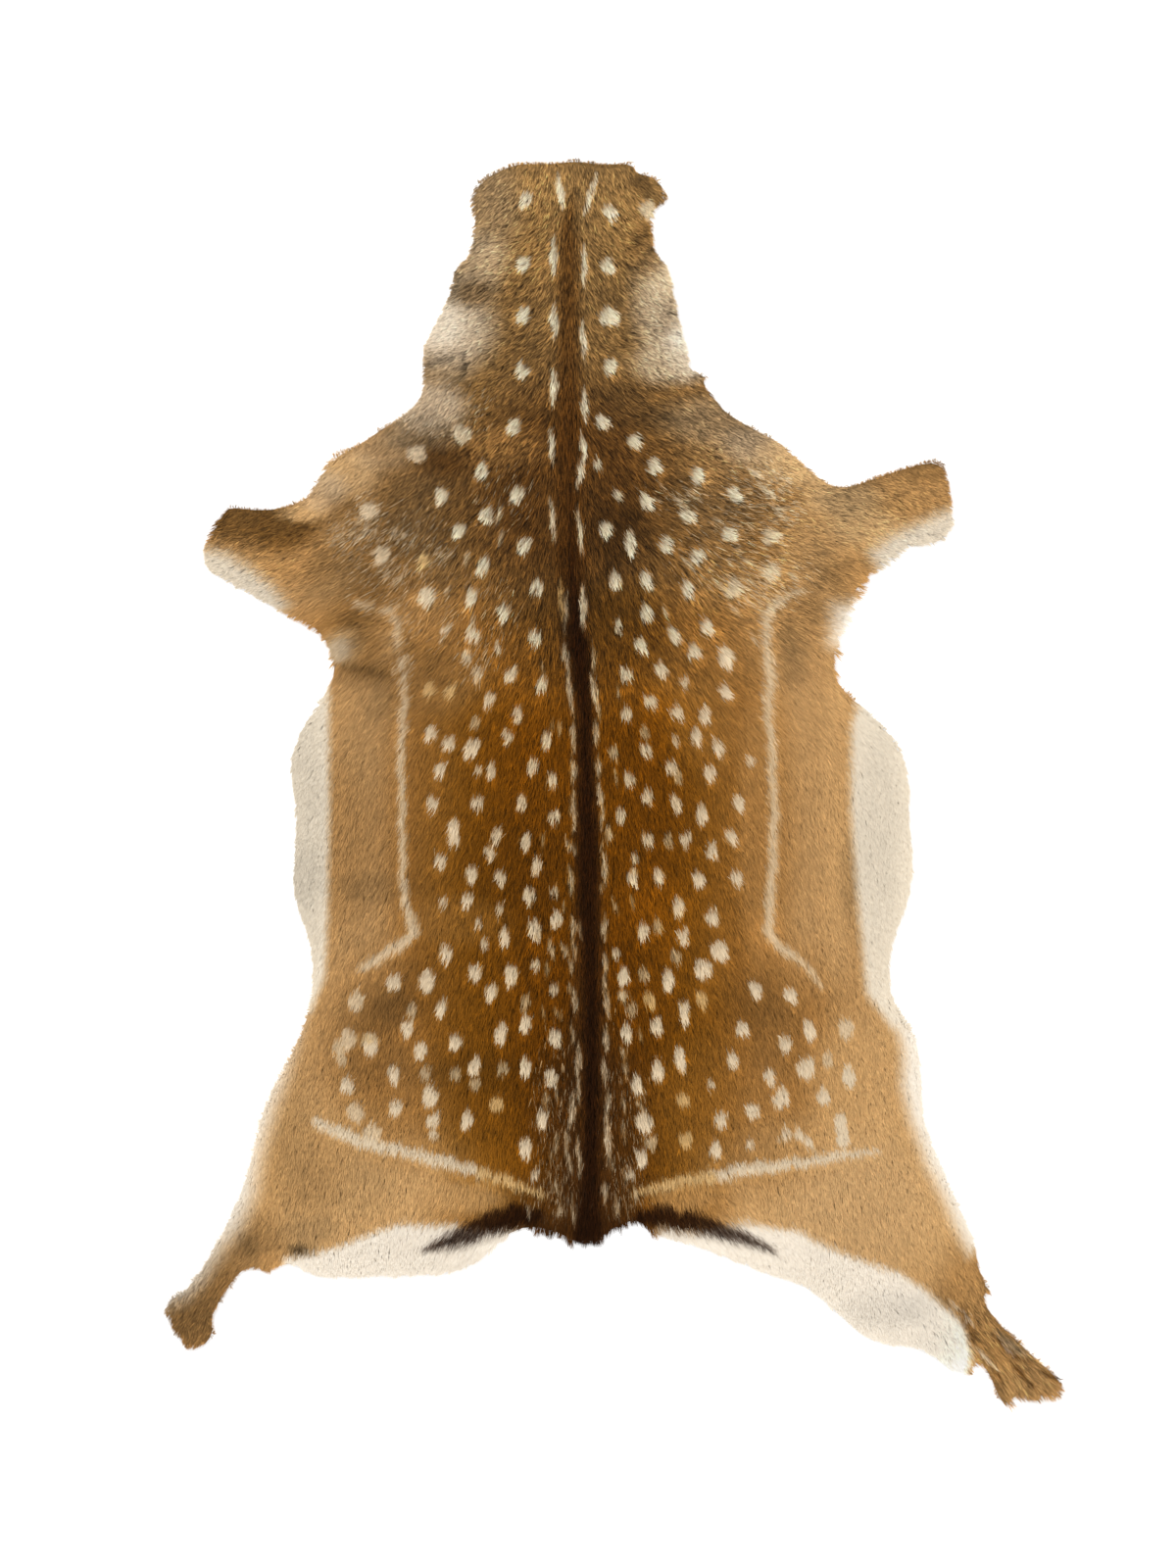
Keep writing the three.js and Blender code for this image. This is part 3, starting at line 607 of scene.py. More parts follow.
# The dashes on either side of the spine and the flecks of the shoulders, each from one place to
# another, with its half width.
DASHES = {
    "cream": [
        (-2.7, 1.5, -2.3, 4.6, 0.38), (-3.2, 7.3, -3.2, 10.8, 0.42), (-3.2, 13.4, -3.1, 16.5, 0.42),
        (-3.2, 19.4, -3.2, 22.6, 0.4), (-3.5, 25, -3.2, 28.2, 0.28), (-3.5, 31.5, -3.0, 35, 0.32),
        (-2.2, 44.5, -1.9, 46.8, 0.4), (-1.9, 46.9, -1.4, 51, 0.38), (-1.4, 51.8, -1.3, 54.5, 0.36),
        (-1.5, 55.2, -1.3, 57.3, 0.42), (-1.3, 58, -1.3, 62, 0.34), (-2.1, 62.4, -1.1, 63.9, 0.4),
        (-1.7, 64.9, -1.5, 67.8, 0.36), (-1.4, 69.8, -1.4, 71.4, 0.38),
        (-1.4, 71.4, -1.2, 73.3, 0.3), (-2.5, 72.2, -1.8, 73.4, 0.36),
        (-1.5, 73.4, -1.4, 74.7, 0.38), (-1.3, 76.3, -1.2, 78.5, 0.4),
        (-0.9, 81.2, -0.9, 84.8, 0.42), (-0.9, 84.6, -0.8, 86.6, 0.3), (-1.3, 85.6, -1.7, 89, 0.42),
        (-0.9, 89.6, -0.8, 93.4, 0.26), (0.8, 1.5, -0.3, 5.3, 0.3), (-0.35, 8, -0.3, 11.8, 0.28),
        (-0.45, 15, -0.35, 18.5, 0.3), (-0.3, 21.4, -0.3, 24.2, 0.32),
        (-0.5, 25.5, -0.2, 27.4, 0.36), (-0.3, 27, -1.1, 30.4, 0.3), (-0.9, 32.2, -0.6, 36.4, 0.28),
        (-0.5, 39.2, -0.35, 43.2, 0.46), (0.3, 47.4, 0.8, 50.2, 0.48), (0.8, 51.8, 0.7, 54, 0.42),
        (0.9, 55, 1.1, 56.9, 0.4), (0.9, 57.5, 1.3, 59.6, 0.46), (1.3, 59.4, 1.3, 61.6, 0.32),
        (1.9, 61.4, 1.9, 62.8, 0.5), (1.35, 64, 1.7, 66.4, 0.42), (1.5, 69.4, 1.5, 71.7, 0.4),
        (1.6, 73.1, 1.5, 75, 0.4), (1.5, 74.8, 1.5, 76.8, 0.3), (1.7, 76.4, 1.9, 78.6, 0.42),
        (1.6, 79.8, 1.7, 82, 0.46), (1.5, 82.6, 1.6, 85, 0.42), (1.8, 85.8, 1.8, 87.7, 0.44),
        (1.7, 87.6, 1.9, 92.5, 0.44), (1.5, 94, 1.5, 95.6, 0.46), (-2.6, 95.8, -2.5, 97, 0.4),
        (17.4, 90, 19.4, 89.3, 0.42), (19.2, 89.1, 20.8, 91, 0.42), (-3.6, 71.4, -3.1, 73.5, 0.36),
    ],
    "honey": [(-2.5, 38.7, -2.4, 42.2, 0.42), (-21.6, 80.8, -19, 81, 0.5)],
    "frost": [
        (-2.0, 39.8, -2.1, 43.5, 0.26), (0.4, 44.8, 0.6, 47.2, 0.34), (0.9, 50, 1.2, 51.7, 0.3),
        (1.4, 62.6, 1.2, 64, 0.26), (1.4, 66.2, 1.2, 67.2, 0.3), (2.2, 68, 2.7, 69.2, 0.42),
        (-0.9, 70.2, -0.6, 71.6, 0.26), (-1.8, 75.5, -1.6, 76.6, 0.34),
        (-3.3, 77.8, -2.5, 78.8, 0.3), (-1.5, 79.4, -1.3, 81.2, 0.34), (-4.2, 78, -4.1, 79, 0.26),
        (-3.9, 73.7, -3.7, 75, 0.42), (3, 76.3, 3.4, 77.6, 0.44), (4.7, 80, 4.9, 81, 0.3),
        (3, 81.5, 3.6, 82.6, 0.36), (3.3, 82.8, 3.4, 84.3, 0.42), (3.2, 86, 3.5, 87.4, 0.42),
        (4.5, 86.2, 5.1, 87.5, 0.42), (-3.9, 85.4, -3.8, 87, 0.5), (-2.9, 85.5, -2.8, 86.6, 0.3),
        (-2.9, 89.4, -2.9, 91, 0.36), (-2, 89.2, -1.9, 91, 0.5), (-1.9, 91, -1.6, 93, 0.5),
        (-3.4, 91, -3.3, 92, 0.3), (-3, 93.8, -2.8, 95.2, 0.4), (-1.4, 95.6, -1.3, 98, 0.36),
        (3.1, 88.4, 3.4, 90, 0.34), (4.2, 94.2, 4.4, 95.8, 0.36), (2.4, 95.4, 2.9, 97.2, 0.42),
        (2.3, 91.8, 2.4, 93.2, 0.3), (5.2, 89.8, 5.8, 91, 0.5), (3.2, 92.8, 3.6, 94, 0.3),
        (-5.7, 96, -5.4, 97.3, 0.4), (2.4, 54, 2.6, 55.4, 0.34), (2.5, 56, 2.6, 57.4, 0.3),
        (2.8, 48.3, 2.9, 49.6, 0.3), (-2.7, 51.6, -2.6, 52.8, 0.34), (-3.4, 51.5, -3.3, 52.6, 0.26),
        (-4.2, 62, -4.1, 63.2, 0.26), (-2.3, 68.2, -2.2, 69.2, 0.3), (3.9, 67.6, 4.1, 68.8, 0.36),
        (-4.2, 46.2, -4.1, 47.6, 0.28), (-11.2, 45.2, -10.9, 46.6, 0.46),
        (-10.4, 46.6, -9.9, 48, 0.46), (-8, 32, -8.3, 33.6, 0.34), (-8, 34, -8.2, 35.4, 0.3),
        (-11, 36, -11.3, 37.4, 0.34), (-10.6, 41.8, -10.8, 43, 0.3), (-17.6, 33.8, -18.2, 35, 0.34),
        (-20.4, 34, -21, 35, 0.3), (-17.2, 38.2, -17.9, 39.4, 0.4), (-12.8, 39.2, -13.3, 40.2, 0.3),
        (-13.6, 43.6, -13.4, 44.6, 0.3), (8, 31.2, 9, 32, 0.4), (8.6, 36.6, 9.8, 37.8, 0.4),
        (11.6, 38.6, 12.4, 39.8, 0.4), (7, 41, 7.4, 42.4, 0.34), (11.6, 33, 12.6, 33.6, 0.3),
        (14.8, 28.4, 16.2, 29.4, 0.4), (15.8, 30, 17.4, 31.2, 0.46), (17, 32, 18.4, 33, 0.4),
        (14.4, 36.6, 15.6, 37.4, 0.34), (18.4, 37.8, 19.4, 38.8, 0.34), (13, 40.8, 14, 42, 0.3),
        (15, 43.4, 15.8, 45, 0.3), (13.6, 35.8, 14.4, 36.6, 0.3),
    ],
}
DASH_STRENGTH = {"cream": 0.94, "honey": 0.8, "frost": 0.75}
DASH_WIDTH = {"cream": 1.0, "honey": 0.9, "frost": 0.72}
DASH_ENDS = (0.3, 0.2)  # the share of its half width that a dash has at its two ends
DASH_EDGE = 0.3
DASH_REACH = 4
SUNK_DASHES = (22, 46)  # from the first to the second the dashes sink in and break up
SUNK_DASH_SHRINK = 0.2
SUNK_DASH_FADE = 0.35
SUNK_DASH_BREAK = 0.2
DASH_WAVES = (6, 9, 3)  # of the breaks: along, across, and the turn from dash to dash

# The spots, each at its place. Their kind gives half width, half length, strength and hair.
# Those in the middle of the back are smaller, sunk among the longer dark hair.
SPOT_EDGE = 0.30
SPOT_REACH = 2
SPOT_LOBES = [(0.10, 2, 1.0), (0.08, 3, 2.3)]  # swell, how often round, turn from spot to spot
SUNK_SPOTS = {"along": 58, "length": 13, "width": 9.5, "beside": 0.5}  # and the share beside
SUNK_SPOT_SHRINK = 0.14
SUNK_SPOT_FADE = 0.12
SPOT_KINDS = {
    "full": (0.60, 0.74, 0.95, "cream"),
    "large": (0.80, 0.92, 0.95, "cream"),
    "tall": (0.55, 1.0, 0.95, "cream"),
    "small": (0.4, 0.48, 0.85, "cream"),
    "honey": (0.6, 0.68, 0.9, "honey"),
    "pale": (0.8, 0.85, 0.75, "cream"),
    "faint": (0.5, 0.65, 0.6, "frost"),
}
SPOTS = {
    "full": [
        (23.9, 84.4), (23.4, 90), (-5.7, 3.8), (-6, 9.7), (-6, 14.4), (-6.1, 19.5), (2.1, 5),
        (1.9, 9.9), (2.1, 19.1), (-6.9, 24.6), (-9.8, 28.7), (-13.5, 31), (-9.35, 32.8),
        (-11.9, 34.2), (-5.9, 35.6), (-9.7, 37.5), (-10.7, 40.2), (-7.8, 41.7), (-10.6, 43.7),
        (-4.9, 44.1), (4.4, 26), (6.2, 28.3), (10.1, 29.1), (13.6, 30.8), (5.4, 31.5), (9.2, 32.8),
        (13.1, 34.4), (10.1, 36.5), (9.2, 39.6), (11, 43.1), (8, 43.8), (4.9, 44.7), (9.8, 45.3),
        (1.7, 34.1), (7.3, 35.5), (2.5, 38.7), (5.4, 38.7), (6.8, 46.9), (3.5, 47.5), (-7.1, 47.4),
        (-4.3, 48.4), (-9.1, 49.8), (-6.5, 51), (-14.5, 52.8), (-7.4, 53.1), (-12.8, 53.7),
        (-5.1, 55.8), (-13.6, 56.1), (-8.9, 56.2), (-14.3, 59.2), (-10.2, 59.2), (-12.4, 61.3),
        (-8.4, 62.2), (-5.7, 62.8), (-4.7, 64.9), (-10.7, 65.7), (-8.1, 66.1), (1.4, 24.2),
        (-3.1, 60.5), (-3.3, 57.1), (3, 60.3), (3.5, 80.3), (-3.4, 84.3), (-5.4, 67.7),
        (-11.1, 68.1), (-2.9, 69.8), (-5.05, 70.6), (-7.7, 71.5), (-13.1, 73), (-10.4, 74.7),
        (-17.8, 75.6), (-8.9, 76.5), (-13.5, 78.1), (-5.75, 79.4), (-16.6, 79.8), (-3, 80.7),
        (-12.2, 81.1), (-15.4, 81.9), (-10.4, 83.3), (-5.75, 83.4), (-17.8, 84.1), (-22.1, 85.1),
        (-17.7, 87.1), (-14.2, 88.2), (-11.1, 88.3), (-4.2, 88.2), (4.5, 85), (12.7, 49),
        (5.8, 49.9), (8.2, 50.9), (3.5, 51.1), (10.8, 51.2), (10, 53.1), (12, 54.1), (5.4, 54.3),
        (7.7, 55.9), (11.2, 56.5), (5.5, 58.6), (8.1, 59.3), (13.9, 59.3), (13.2, 62.3),
        (5.5, 62.6), (9, 62.6), (11.4, 63.6), (6.5, 65.9), (4.1, 66.1), (10.2, 66.2), (13.7, 66.1),
        (11.4, 69.6), (5.1, 71), (8.8, 71.4), (3.3, 75.1), (15.4, 76.3), (18.6, 76.8), (14.2, 79.9),
        (18.1, 81.3), (6.3, 79.7), (13.3, 82.8), (16.7, 84.3), (21.6, 86.1), (15.1, 87.4),
        (12.2, 88.2), (11.7, 91), (4.9, 91.7), (23.2, 88.3), (3.8, 57), (-6.5, 30.9), (-4.7, 39.5),
        (5.4, 41.8), (-3.8, 53.4), (-6.1, 59.1), (-9, 63.7), (-13.6, 64.5),
    ],
    "large": [
        (2, 14.5), (-10.7, 54.1), (-14.8, 75.5), (-14.5, 86), (-14.8, 40.2), (12.1, 72.7),
        (10.6, 74.4), (20, 83.5), (17.7, 86.2), (12.7, 45.8), (-20, 81.3), (5.2, 88.5),
    ],
    "tall": [
        (-7.1, 75), (-8, 80.3), (7.4, 75.4), (8.9, 78.4), (8.5, 82.7), (20.3, 80), (-5.75, 90.8),
        (10.5, 60.2), (8.3, 68.7), (3.9, 35.4), (24, 84.2), (23.3, 89.4), (-12.3, 62.4),
        (6.4, 83.7),
    ],
    "small": [
        (18.2, 89.4), (19.4, 89.6), (20.3, 90.2), (0.9, 28.2), (2.8, 31), (-10.1, 56.2),
        (-3.1, 67.3), (-13.3, 68.3), (-8.1, 69), (-10.1, 70.3), (-9.5, 72.2), (-4.8, 74.1),
        (-3.1, 76.3), (-4.9, 93.3), (-4.6, 71.2), (4.3, 64.2), (11.3, 85.1), (3.9, 93.2),
        (15, 55.3), (8.1, 53.5), (2.8, 42.9), (-8.3, 45), (2.6, 73), (-14.2, 89.5), (14.9, 90.5),
        (-13.1, 43.3), (8.9, 48.1),
    ],
    "honey": [
        (10.5, 77.2), (5.7, 77.3), (8.7, 86.4), (9, 90.1), (-8.4, 86.8), (-15.2, 37), (-12.7, 48.9),
        (-14.6, 48.8),
    ],
    "pale": [
        (-11.6, 25.3), (-15.7, 27.1), (-20.1, 32.4), (-19, 36.4), (-21.3, 77.3), (-22, 80.8),
        (-21.3, 87.5), (-19.8, 89.4), (16.9, 34.7), (16.8, 37.9), (13.4, 39.4), (23.7, 79.8),
        (5.6, 4.8),
    ],
    "faint": [
        (-11.1, 45.7), (-10.2, 47.3), (-10.4, 51.8), (-5.75, 77.5), (-16.2, 78.2), (-22.6, 82.5),
        (-15, 84), (-12.2, 84.1), (5.2, 52.7), (2.3, 54.6), (7.4, 62.7), (6.4, 70.5), (8.1, 73.3),
        (5.2, 74.9), (3.2, 76.8), (4, 78.1), (22, 82.7), (5.9, 90.2), (8.3, 56.8), (-7.9, 83.6),
        (-10.4, 84.9), (-23, 81.6),
    ],
}

# Places where pale hairs are mixed in, and where the coat is darker or lighter: across, along,
# half width, half length, and the share of pale hairs, of darkness or of light. Some of the
# darker places are painted shade, in the creases and folds of the hide and in the nicks of the rim.
PATCH_EDGE = 1.4  # a patch has faded out at this many times its half size
FROST_SHARE = 1.6
FROST_STRENGTH = 0.48
FROSTED = [
    (16, 31.5, 4, 3.4, 0.1), (12, 36.5, 5, 3, 0.05), (16.5, 38.5, 4, 3, 0.09),
    (8, 31, 3, 1.5, 0.07), (-8, 31.5, 3, 3, 0.05), (-18, 35.5, 5, 3.5, 0.07),
    (-18, 39.5, 4, 2.5, 0.07), (-10.5, 42, 4, 4, 0.05), (-10.5, 46.5, 2, 1.6, 0.08),
    (-3.2, 88, 2, 8, 0.06), (3.4, 88, 2, 8, 0.05), (-3, 95, 3, 2.4, 0.09),
    (3.5, 95.5, 2.5, 2, 0.08), (-14, 23, 5, 2.5, 0.08), (-20.6, 33.4, 1.6, 2.4, 0.25),
    (-22.6, 34.6, 1.6, 1.2, 0.2), (-18.6, 37.6, 1, 1, 0.25), (-17, 35, 1, 0.7, 0.2),
    (-13.4, 36.4, 0.9, 0.8, 0.25), (-17, 46.8, 1, 1.2, 0.3), (-16.6, 43, 1.2, 1.4, 0.12),
    (17, 29.8, 1.6, 1.4, 0.2), (18.4, 32.4, 1.6, 1, 0.2), (9.6, 31, 1.2, 0.6, 0.25),
    (15.6, 39.8, 2, 1.6, 0.15),
]
# Darker places: the coat's own darker tone, and painted shade in creases, folds and the rim's
# nicks.
DARKER_AND_CREASE_SHADE = [
    (-17.8, 78, 2.2, 1.8, 0.16), (-19.4, 67, 4.4, 1.5, 0.1), (-26.3, 100.1, 1.4, 0.6, 0.25),
    (23.9, 66.5, 0.9, 4, 0.1), (5, 22.6, 5, 2.4, 0.15), (-11.4, 18.9, 0.16, 1.4, 0.5),
    (-13.3, 18.4, 0.9, 0.3, 0.3), (4.7, 2, 0.7, 0.6, 0.25), (-20.5, 78.5, 3, 2.5, 0.1),
    (7.6, 14.2, 0.5, 0.15, 0.4), (8.4, 16.1, 0.4, 0.15, 0.35), (-6, 66, 6, 5, 0.1),
    (5.2, 9.6, 0.8, 0.3, 0.35), (4.6, 7.6, 0.4, 0.7, 0.3), (5.8, 8.4, 0.3, 0.5, 0.35),
    (5.6, 2.9, 0.4, 0.7, 0.2), (4.3, 11, 1, 1.4, 0.15), (5.2, 7.1, 0.5, 0.25, 0.3),
    (-26.6, 100.1, 0.8, 0.5, 0.3), (-31.4, 99.8, 1, 1.2, 0.15), (-14.4, 18.8, 0.7, 0.2, 0.25),
    (-7.8, 29, 2.4, 2.4, 0.08), (2.8, 37.4, 2, 1.4, 0.1), (-10.6, 7.6, 1.6, 0.3, 0.2),
    (0, 43.4, 8, 5.5, 0.25), (2.9, 34.2, 3, 3, 0.24), (-20.3, 46, 4, 3, 0.1),
    (-22.5, 33, 3, 3, 0.09), (-20.6, 40, 2.4, 3, 0.06), (9, 46.5, 3.4, 3, 0.07),
    (-20, 82.5, 4, 3, 0.08), (-22, 94, 5, 3.4, 0.05), (17, 80, 3, 5, 0.08),
    (18.6, 46, 1.5, 3, 0.12), (-25.4, 98.2, 2.6, 1.4, 0.1), (-27, 91, 2.4, 6, 0.06),
    (22, 40, 2.4, 3, 0.1), (-12.5, 28, 3, 3, 0.04), (-23.5, 38.5, 3, 3, 0.13),
    (18.6, 42, 2.4, 3.6, 0.11), (24.5, 31.2, 3, 2, 0.15), (-14.5, 33, 5, 5, 0.12),
    (12, 31, 6, 3, 0.08), (-18.6, 50, 2, 2, 0.1), (20.5, 37, 2, 2, 0.1), (-32.4, 96, 1.8, 5, 0.04),
    (33, 108.4, 3, 2, 0.07), (0, 36, 14, 8, 0.06), (-20, 36, 4.5, 4, 0.1),
    (-22.4, 43.7, 2, 2, 0.08), (2.2, 13.5, 1.4, 1.6, 0.12), (-34.6, 101.3, 2, 2, 0.08),
    (27.5, 105.5, 4, 2, 0.05), (41, 111.6, 2, 2, 0.1), (31.7, 27.5, 2, 1, 0.1),
    (22, 33, 4, 4, 0.07), (-26, 66, 2, 3, 0.05), (-26.5, 60, 3, 14, 0.09),
    (26.6, 60, 2.4, 12, 0.06), (-16, 76, 3, 2.5, 0.11), (-10.4, 83.8, 7, 2, 0.12),
    (-0.5, 82.4, 3, 6, 0.1), (14.9, 77.4, 3, 3, 0.11), (-37, 105.5, 3, 3, 0.14),
    (31.1, 105.6, 3, 1.6, 0.05), (-20.5, 60, 3, 14, 0.06),
]
LIGHTENED = [
    (-4.1, 2.2, 3, 3, 0.2), (-4.6, 8.6, 3.4, 4, 0.15), (2.9, 5, 2.5, 4, 0.12),
    (5.8, 10.6, 2.4, 5, 0.12), (8.4, 22, 3.4, 1.4, 0.22), (-25.2, 32.3, 1.8, 1.3, 0.16),
    (-13, 19, 1.2, 1.2, 0.1), (-8, 26.4, 4, 1.8, 0.1), (10.7, 24.6, 3, 2.4, 0.08),
    (16.3, 71, 1.6, 2, 0.1), (31.4, 31, 3, 3, 0.05), (25.2, 38.8, 2, 1.6, 0.12),
    (-6, 54, 4, 6, 0.06), (7.5, 51.5, 3, 4, 0.11), (6.5, 96.6, 2.4, 1.2, 0.2), (14, 85, 6, 4, 0.04),
    (-12, 70, 5, 2.4, 0.06), (12, 28.4, 3, 3, 0.11), (-8.4, 10, 2, 2.4, 0.12),
    (-29, 101.3, 1.4, 1, 0.15), (34.6, 102.7, 2, 2.4, 0.12), (37, 109.5, 2, 2.2, 0.04),
    (6.5, 69, 4, 3, 0.14), (-7, 92, 4, 2, 0.1), (9, 88, 5, 4, 0.06),
]


def patch(across, along, row):
    """The distance to a patch's middle, as one at its half width and half length."""
    return np.hypot((across - row[0]) / row[2], (along - row[1]) / row[3])


def soft_edge(depth, width):
    """How strongly a mark covers a place this deep inside its outline, half at the outline."""
    return smooth_step(depth / width + 0.5)


def line_cover(across, along, line, soft):
    """How strongly a long mark covers each place."""
    cover = np.zeros(np.shape(across))
    fast, slow = WAVES_ALONG
    across = across + WAVER * np.sin(fast * along + line[0][0]) * np.sin(slow * along)
    fast, slow = WAVES_ACROSS
    along = along + WAVER * np.sin(fast * across + line[0][1]) * np.sin(slow * across)
    for (ax, ay, a_half), (bx, by, b_half) in zip(line, line[1:]):
        dx, dy = bx - ax, by - ay
        t = np.clip(((across - ax) * dx + (along - ay) * dy) / (dx * dx + dy * dy), 0, 1)
        gap = np.hypot(across - ax - t * dx, along - ay - t * dy)
        half = a_half + (b_half - a_half) * t
        cover = np.maximum(cover, soft_edge(half - gap, soft))
    return cover


def spot_cover(across, along, centre, half_width, half_length, number):
    """How strongly a spot covers each place. Its outline is uneven, and no two are alike."""
    u, v = (across - centre[0]) / half_width, (along - centre[1]) / half_length
    bearing = np.arctan2(v, u)
    outline = 1
    for swell, times, turn in SPOT_LOBES:
        outline = outline + swell * np.sin(times * bearing + turn * number)
    return soft_edge(outline - np.hypot(u, v), SPOT_EDGE)


def coat_colour(across, along, rng):
    """The colour of the hair that shows at each place."""
    colour = np.tile(np.array(HAIR["tan"]), (len(across), 1))

    def lay(hair, cover, where=slice(None)):
        colour[where] += (np.array(HAIR[hair]) - colour[where]) * cover[:, None]

    for hair, *row in AREAS:
        strength, fade, *_ = [*row[4:], AREA_FADE]
        lay(hair, strength * soft_edge(1 - patch(across, along, row), fade))
    for hair, soft, outline in PALE_AREAS:
        lay(hair, soft_edge(-signed_distance(across, along, outline), soft))
    for hair, soft, strength, line in UNDER_LINES:
        lay(hair, strength * line_cover(across, along, line, soft))
    # Darker and lighter patches; part of the darkening is painted shade in creases, folds and
    # nicks.
    for sign, rows in ((-1, DARKER_AND_CREASE_SHADE), (1, LIGHTENED)):
        for row in rows:
            shown = row[4] * smooth_step(PATCH_EDGE - patch(across, along, row))
            colour[:] *= 1 + sign * shown[:, None]
    for row in FROSTED:
        share = FROST_SHARE * row[4] * smooth_step(PATCH_EDGE - patch(across, along, row))
        lay("frost", FROST_STRENGTH * (share > rng.random(len(across))))
    number = 0
    for kind, places in SPOTS.items():
        half_width, half_length, strength, hair = SPOT_KINDS[kind]
        for centre in places:
            number += 1
            near = np.nonzero(np.abs(along - centre[1]) < SPOT_REACH)[0]
            sunk = np.exp(-((centre[1] - SUNK_SPOTS["along"]) / SUNK_SPOTS["length"]) ** 2)
            sunk *= 1 if abs(centre[0]) < SUNK_SPOTS["width"] else SUNK_SPOTS["beside"]
            size = 1 - SUNK_SPOT_SHRINK * sunk
            cover = spot_cover(
                across[near], along[near], centre, half_width * size, half_length * size, number
            )
            lay(hair, cover * strength * (1 - SUNK_SPOT_FADE * sunk), near)
    for hair, soft, strength, line in LINES:
        uneven = rng.uniform(BLACK_AT_LEAST, 1, len(across)) if hair == "black" else 1
        strayed = across + LINE_STRAY * rng.normal(0, 1, len(across))
        lay(hair, strength * uneven * line_cover(strayed, along, line, soft))
    for hair, rows in DASHES.items():
        for ax, ay, bx, by, half in rows:
            middle = ((ax + bx) / 2, (ay + by) / 2)
            sunk = smooth_step((ay - SUNK_DASHES[0]) / (SUNK_DASHES[1] - SUNK_DASHES[0]))
            half = half * DASH_WIDTH[hair] * (1 - SUNK_DASH_SHRINK * sunk)
            line = [(ax, ay, DASH_ENDS[0] * half), (*middle, half), (bx, by, DASH_ENDS[1] * half)]
            near = np.hypot(across - middle[0], along - middle[1]) < DASH_REACH
            near = np.nonzero(near)[0]
            cover = DASH_STRENGTH[hair] * line_cover(across[near], along[near], line, DASH_EDGE)
            waves = DASH_WAVES[0] * along[near] + DASH_WAVES[1] * across[near]
            broken = 1 - np.sin(waves + DASH_WAVES[2] * ax)
            worn = rng.uniform(1 - SUNK_DASH_FADE * sunk, 1, len(near))
            lay(hair, cover * (worn * (1 - SUNK_DASH_BREAK * sunk * broken)), near)
    return colour


# The hair. Some 450,000 locks stand in the skin, each a narrow blade that rises from its root,
# bends over and lies along the combing with its tip on the hair behind it. They fill the space
# that the solid has above the skin, and the coat is parted across the hide into five pieces.
LOCK_PITCH = 0.00105
LOCK_WIDTH = 0.00066
BEND_AT = 0.42  # the share of its length at which a lock bends over
BEND_RISE = 0.72  # the share of its height that it has there
SHOWS_AT = 0.72  # the share of its length where a lock shows among the others
TUFT_PITCH = 0.0042
CLUMP_PITCH = 0.0019  # small clumps of locks within a tuft that share a shade
TUFT_PLACES = (0.1, 0.9)  # where in its square of the grid a tuft's middle may lie
TUFT_SPREAD = np.radians(6)
LOCK_SPREAD = np.radians(8)
LENGTH_SPREAD = (0.95, 0.16)  # the middle and the scatter of a lock's share of the combed length
LENGTH_LIMITS = (0.5, 1.35)
WIDTH_LIMITS = (0.7, 1.25)
PALE_WIDTH = 1.1  # how much wider the locks of white hair are
LEAST_NAP = 0.0012
NAP_FILL = 0.95  # the share of the nap's height that the highest tips reach
NAP_DIPS = 0.55  # how much less of it the lowest reach
ROLL = 0.30  # how far locks roll about their own length, in radians
TILT = 0.22  # how far the faces of locks lean to either side, so that they catch the light
FORWARD_TILT = 0.12
GATHER = 0.30  # how far the tips of a tuft draw together
ROOT_MARGIN = 0.0002  # how far inside the skin's rim the last roots stand
ROOT_DEPTH = 0.0002
PALE_CALM = 0.85  # how much more evenly white hair lies
PALE_GAIN = 1.7  # with the next, how green in its colour tells white hair from brown
PALE_START = 0.6
LOCK_STRAY = (0.05, 0.10)  # how far a lock strays over the edge of a marking
TUFT_STRAY = (0.02, 0.06)
OUT_BAND = 0.006  # this near a rim that the combing points away from, some hair stands outwards
OUT_START = 1.3  # the last of it stands this many bands from the rim
OUT_SHARE = 0.8
OUT_LENGTH = 0.006
OUT_LIMITS = (0.6, 1.2)
OUT_SPREAD = 0.5
SLOPE_PROBE = 0.003  # how far to either side the way to the rim is felt for
OVERHANG = 0.0002
OVERHANG_STRAY = 0.001
TUFT_REACH = 0.0013  # how much further the longest tufts reach
TRIMS = 3  # rounds of cutting back locks that reach too far
SHORTEST = 0.25  # the share of its length that a round leaves at least
COAT_PIECES = ["coat_neck", "coat_shoulders", "coat_flanks", "coat_haunches", "coat_rump"]
FRINGES = [  # where locks hang out over the rim, or less so: across, along, radius and strength
    (31.5, 27.4, 4.4, -0.36), (36, 27, 3, -0.3),
    (-24.8, 29.8, 3.5, 1.2), (26, 38, 7, 1.6), (23, 45, 5, 1.2), (-23.8, 45, 3, 1.2),
    (-4.5, 98.5, 4, 1.3), (4, 98, 3.4, 1.1), (5.5, 3, 4, 1.2), (5.8, 7, 3, 0.5), (41, 112, 5, 0.7),
    (30, 50, 5, 0.6), (-10, 12, 10, 0.3), (-30, 40, 8, 0.3),
]
FRINGE_LIMITS = (-0.38, 1.8)
FRINGE_REACH = 0.0032
FRINGE_DRAW = 0.0018  # what a fringe takes off the reach of its shortest locks
AGOUTI = [  # where each hair is banded dark and light, and how strongly
    (-1, 14, 15, 24, 1.0), (2, 34, 24, 14, 1.0), (-31, 35, 9, 6, 0.5), (29, 32, 8, 6, 0.45),
    (38, 109, 8, 8, 0.8), (-36, 106, 6, 6, 0.4), (0, 65, 12, 36, 0.6),
]
AGOUTI_EDGE = 1.3
# How uneven the shade is from lock to lock and from clump to clump: on plain hair, what banding
# adds, and the share that white hair loses.
GRAIN = (0.09, 0.11, 0.9)
SPECKLE = (0.02, 0.17, 0.95)
TUFT_SHADE = 0.02
SHADE_LIMITS = (0.45, 1.6)
COLOUR_LIMITS = (0.01, 0.97)
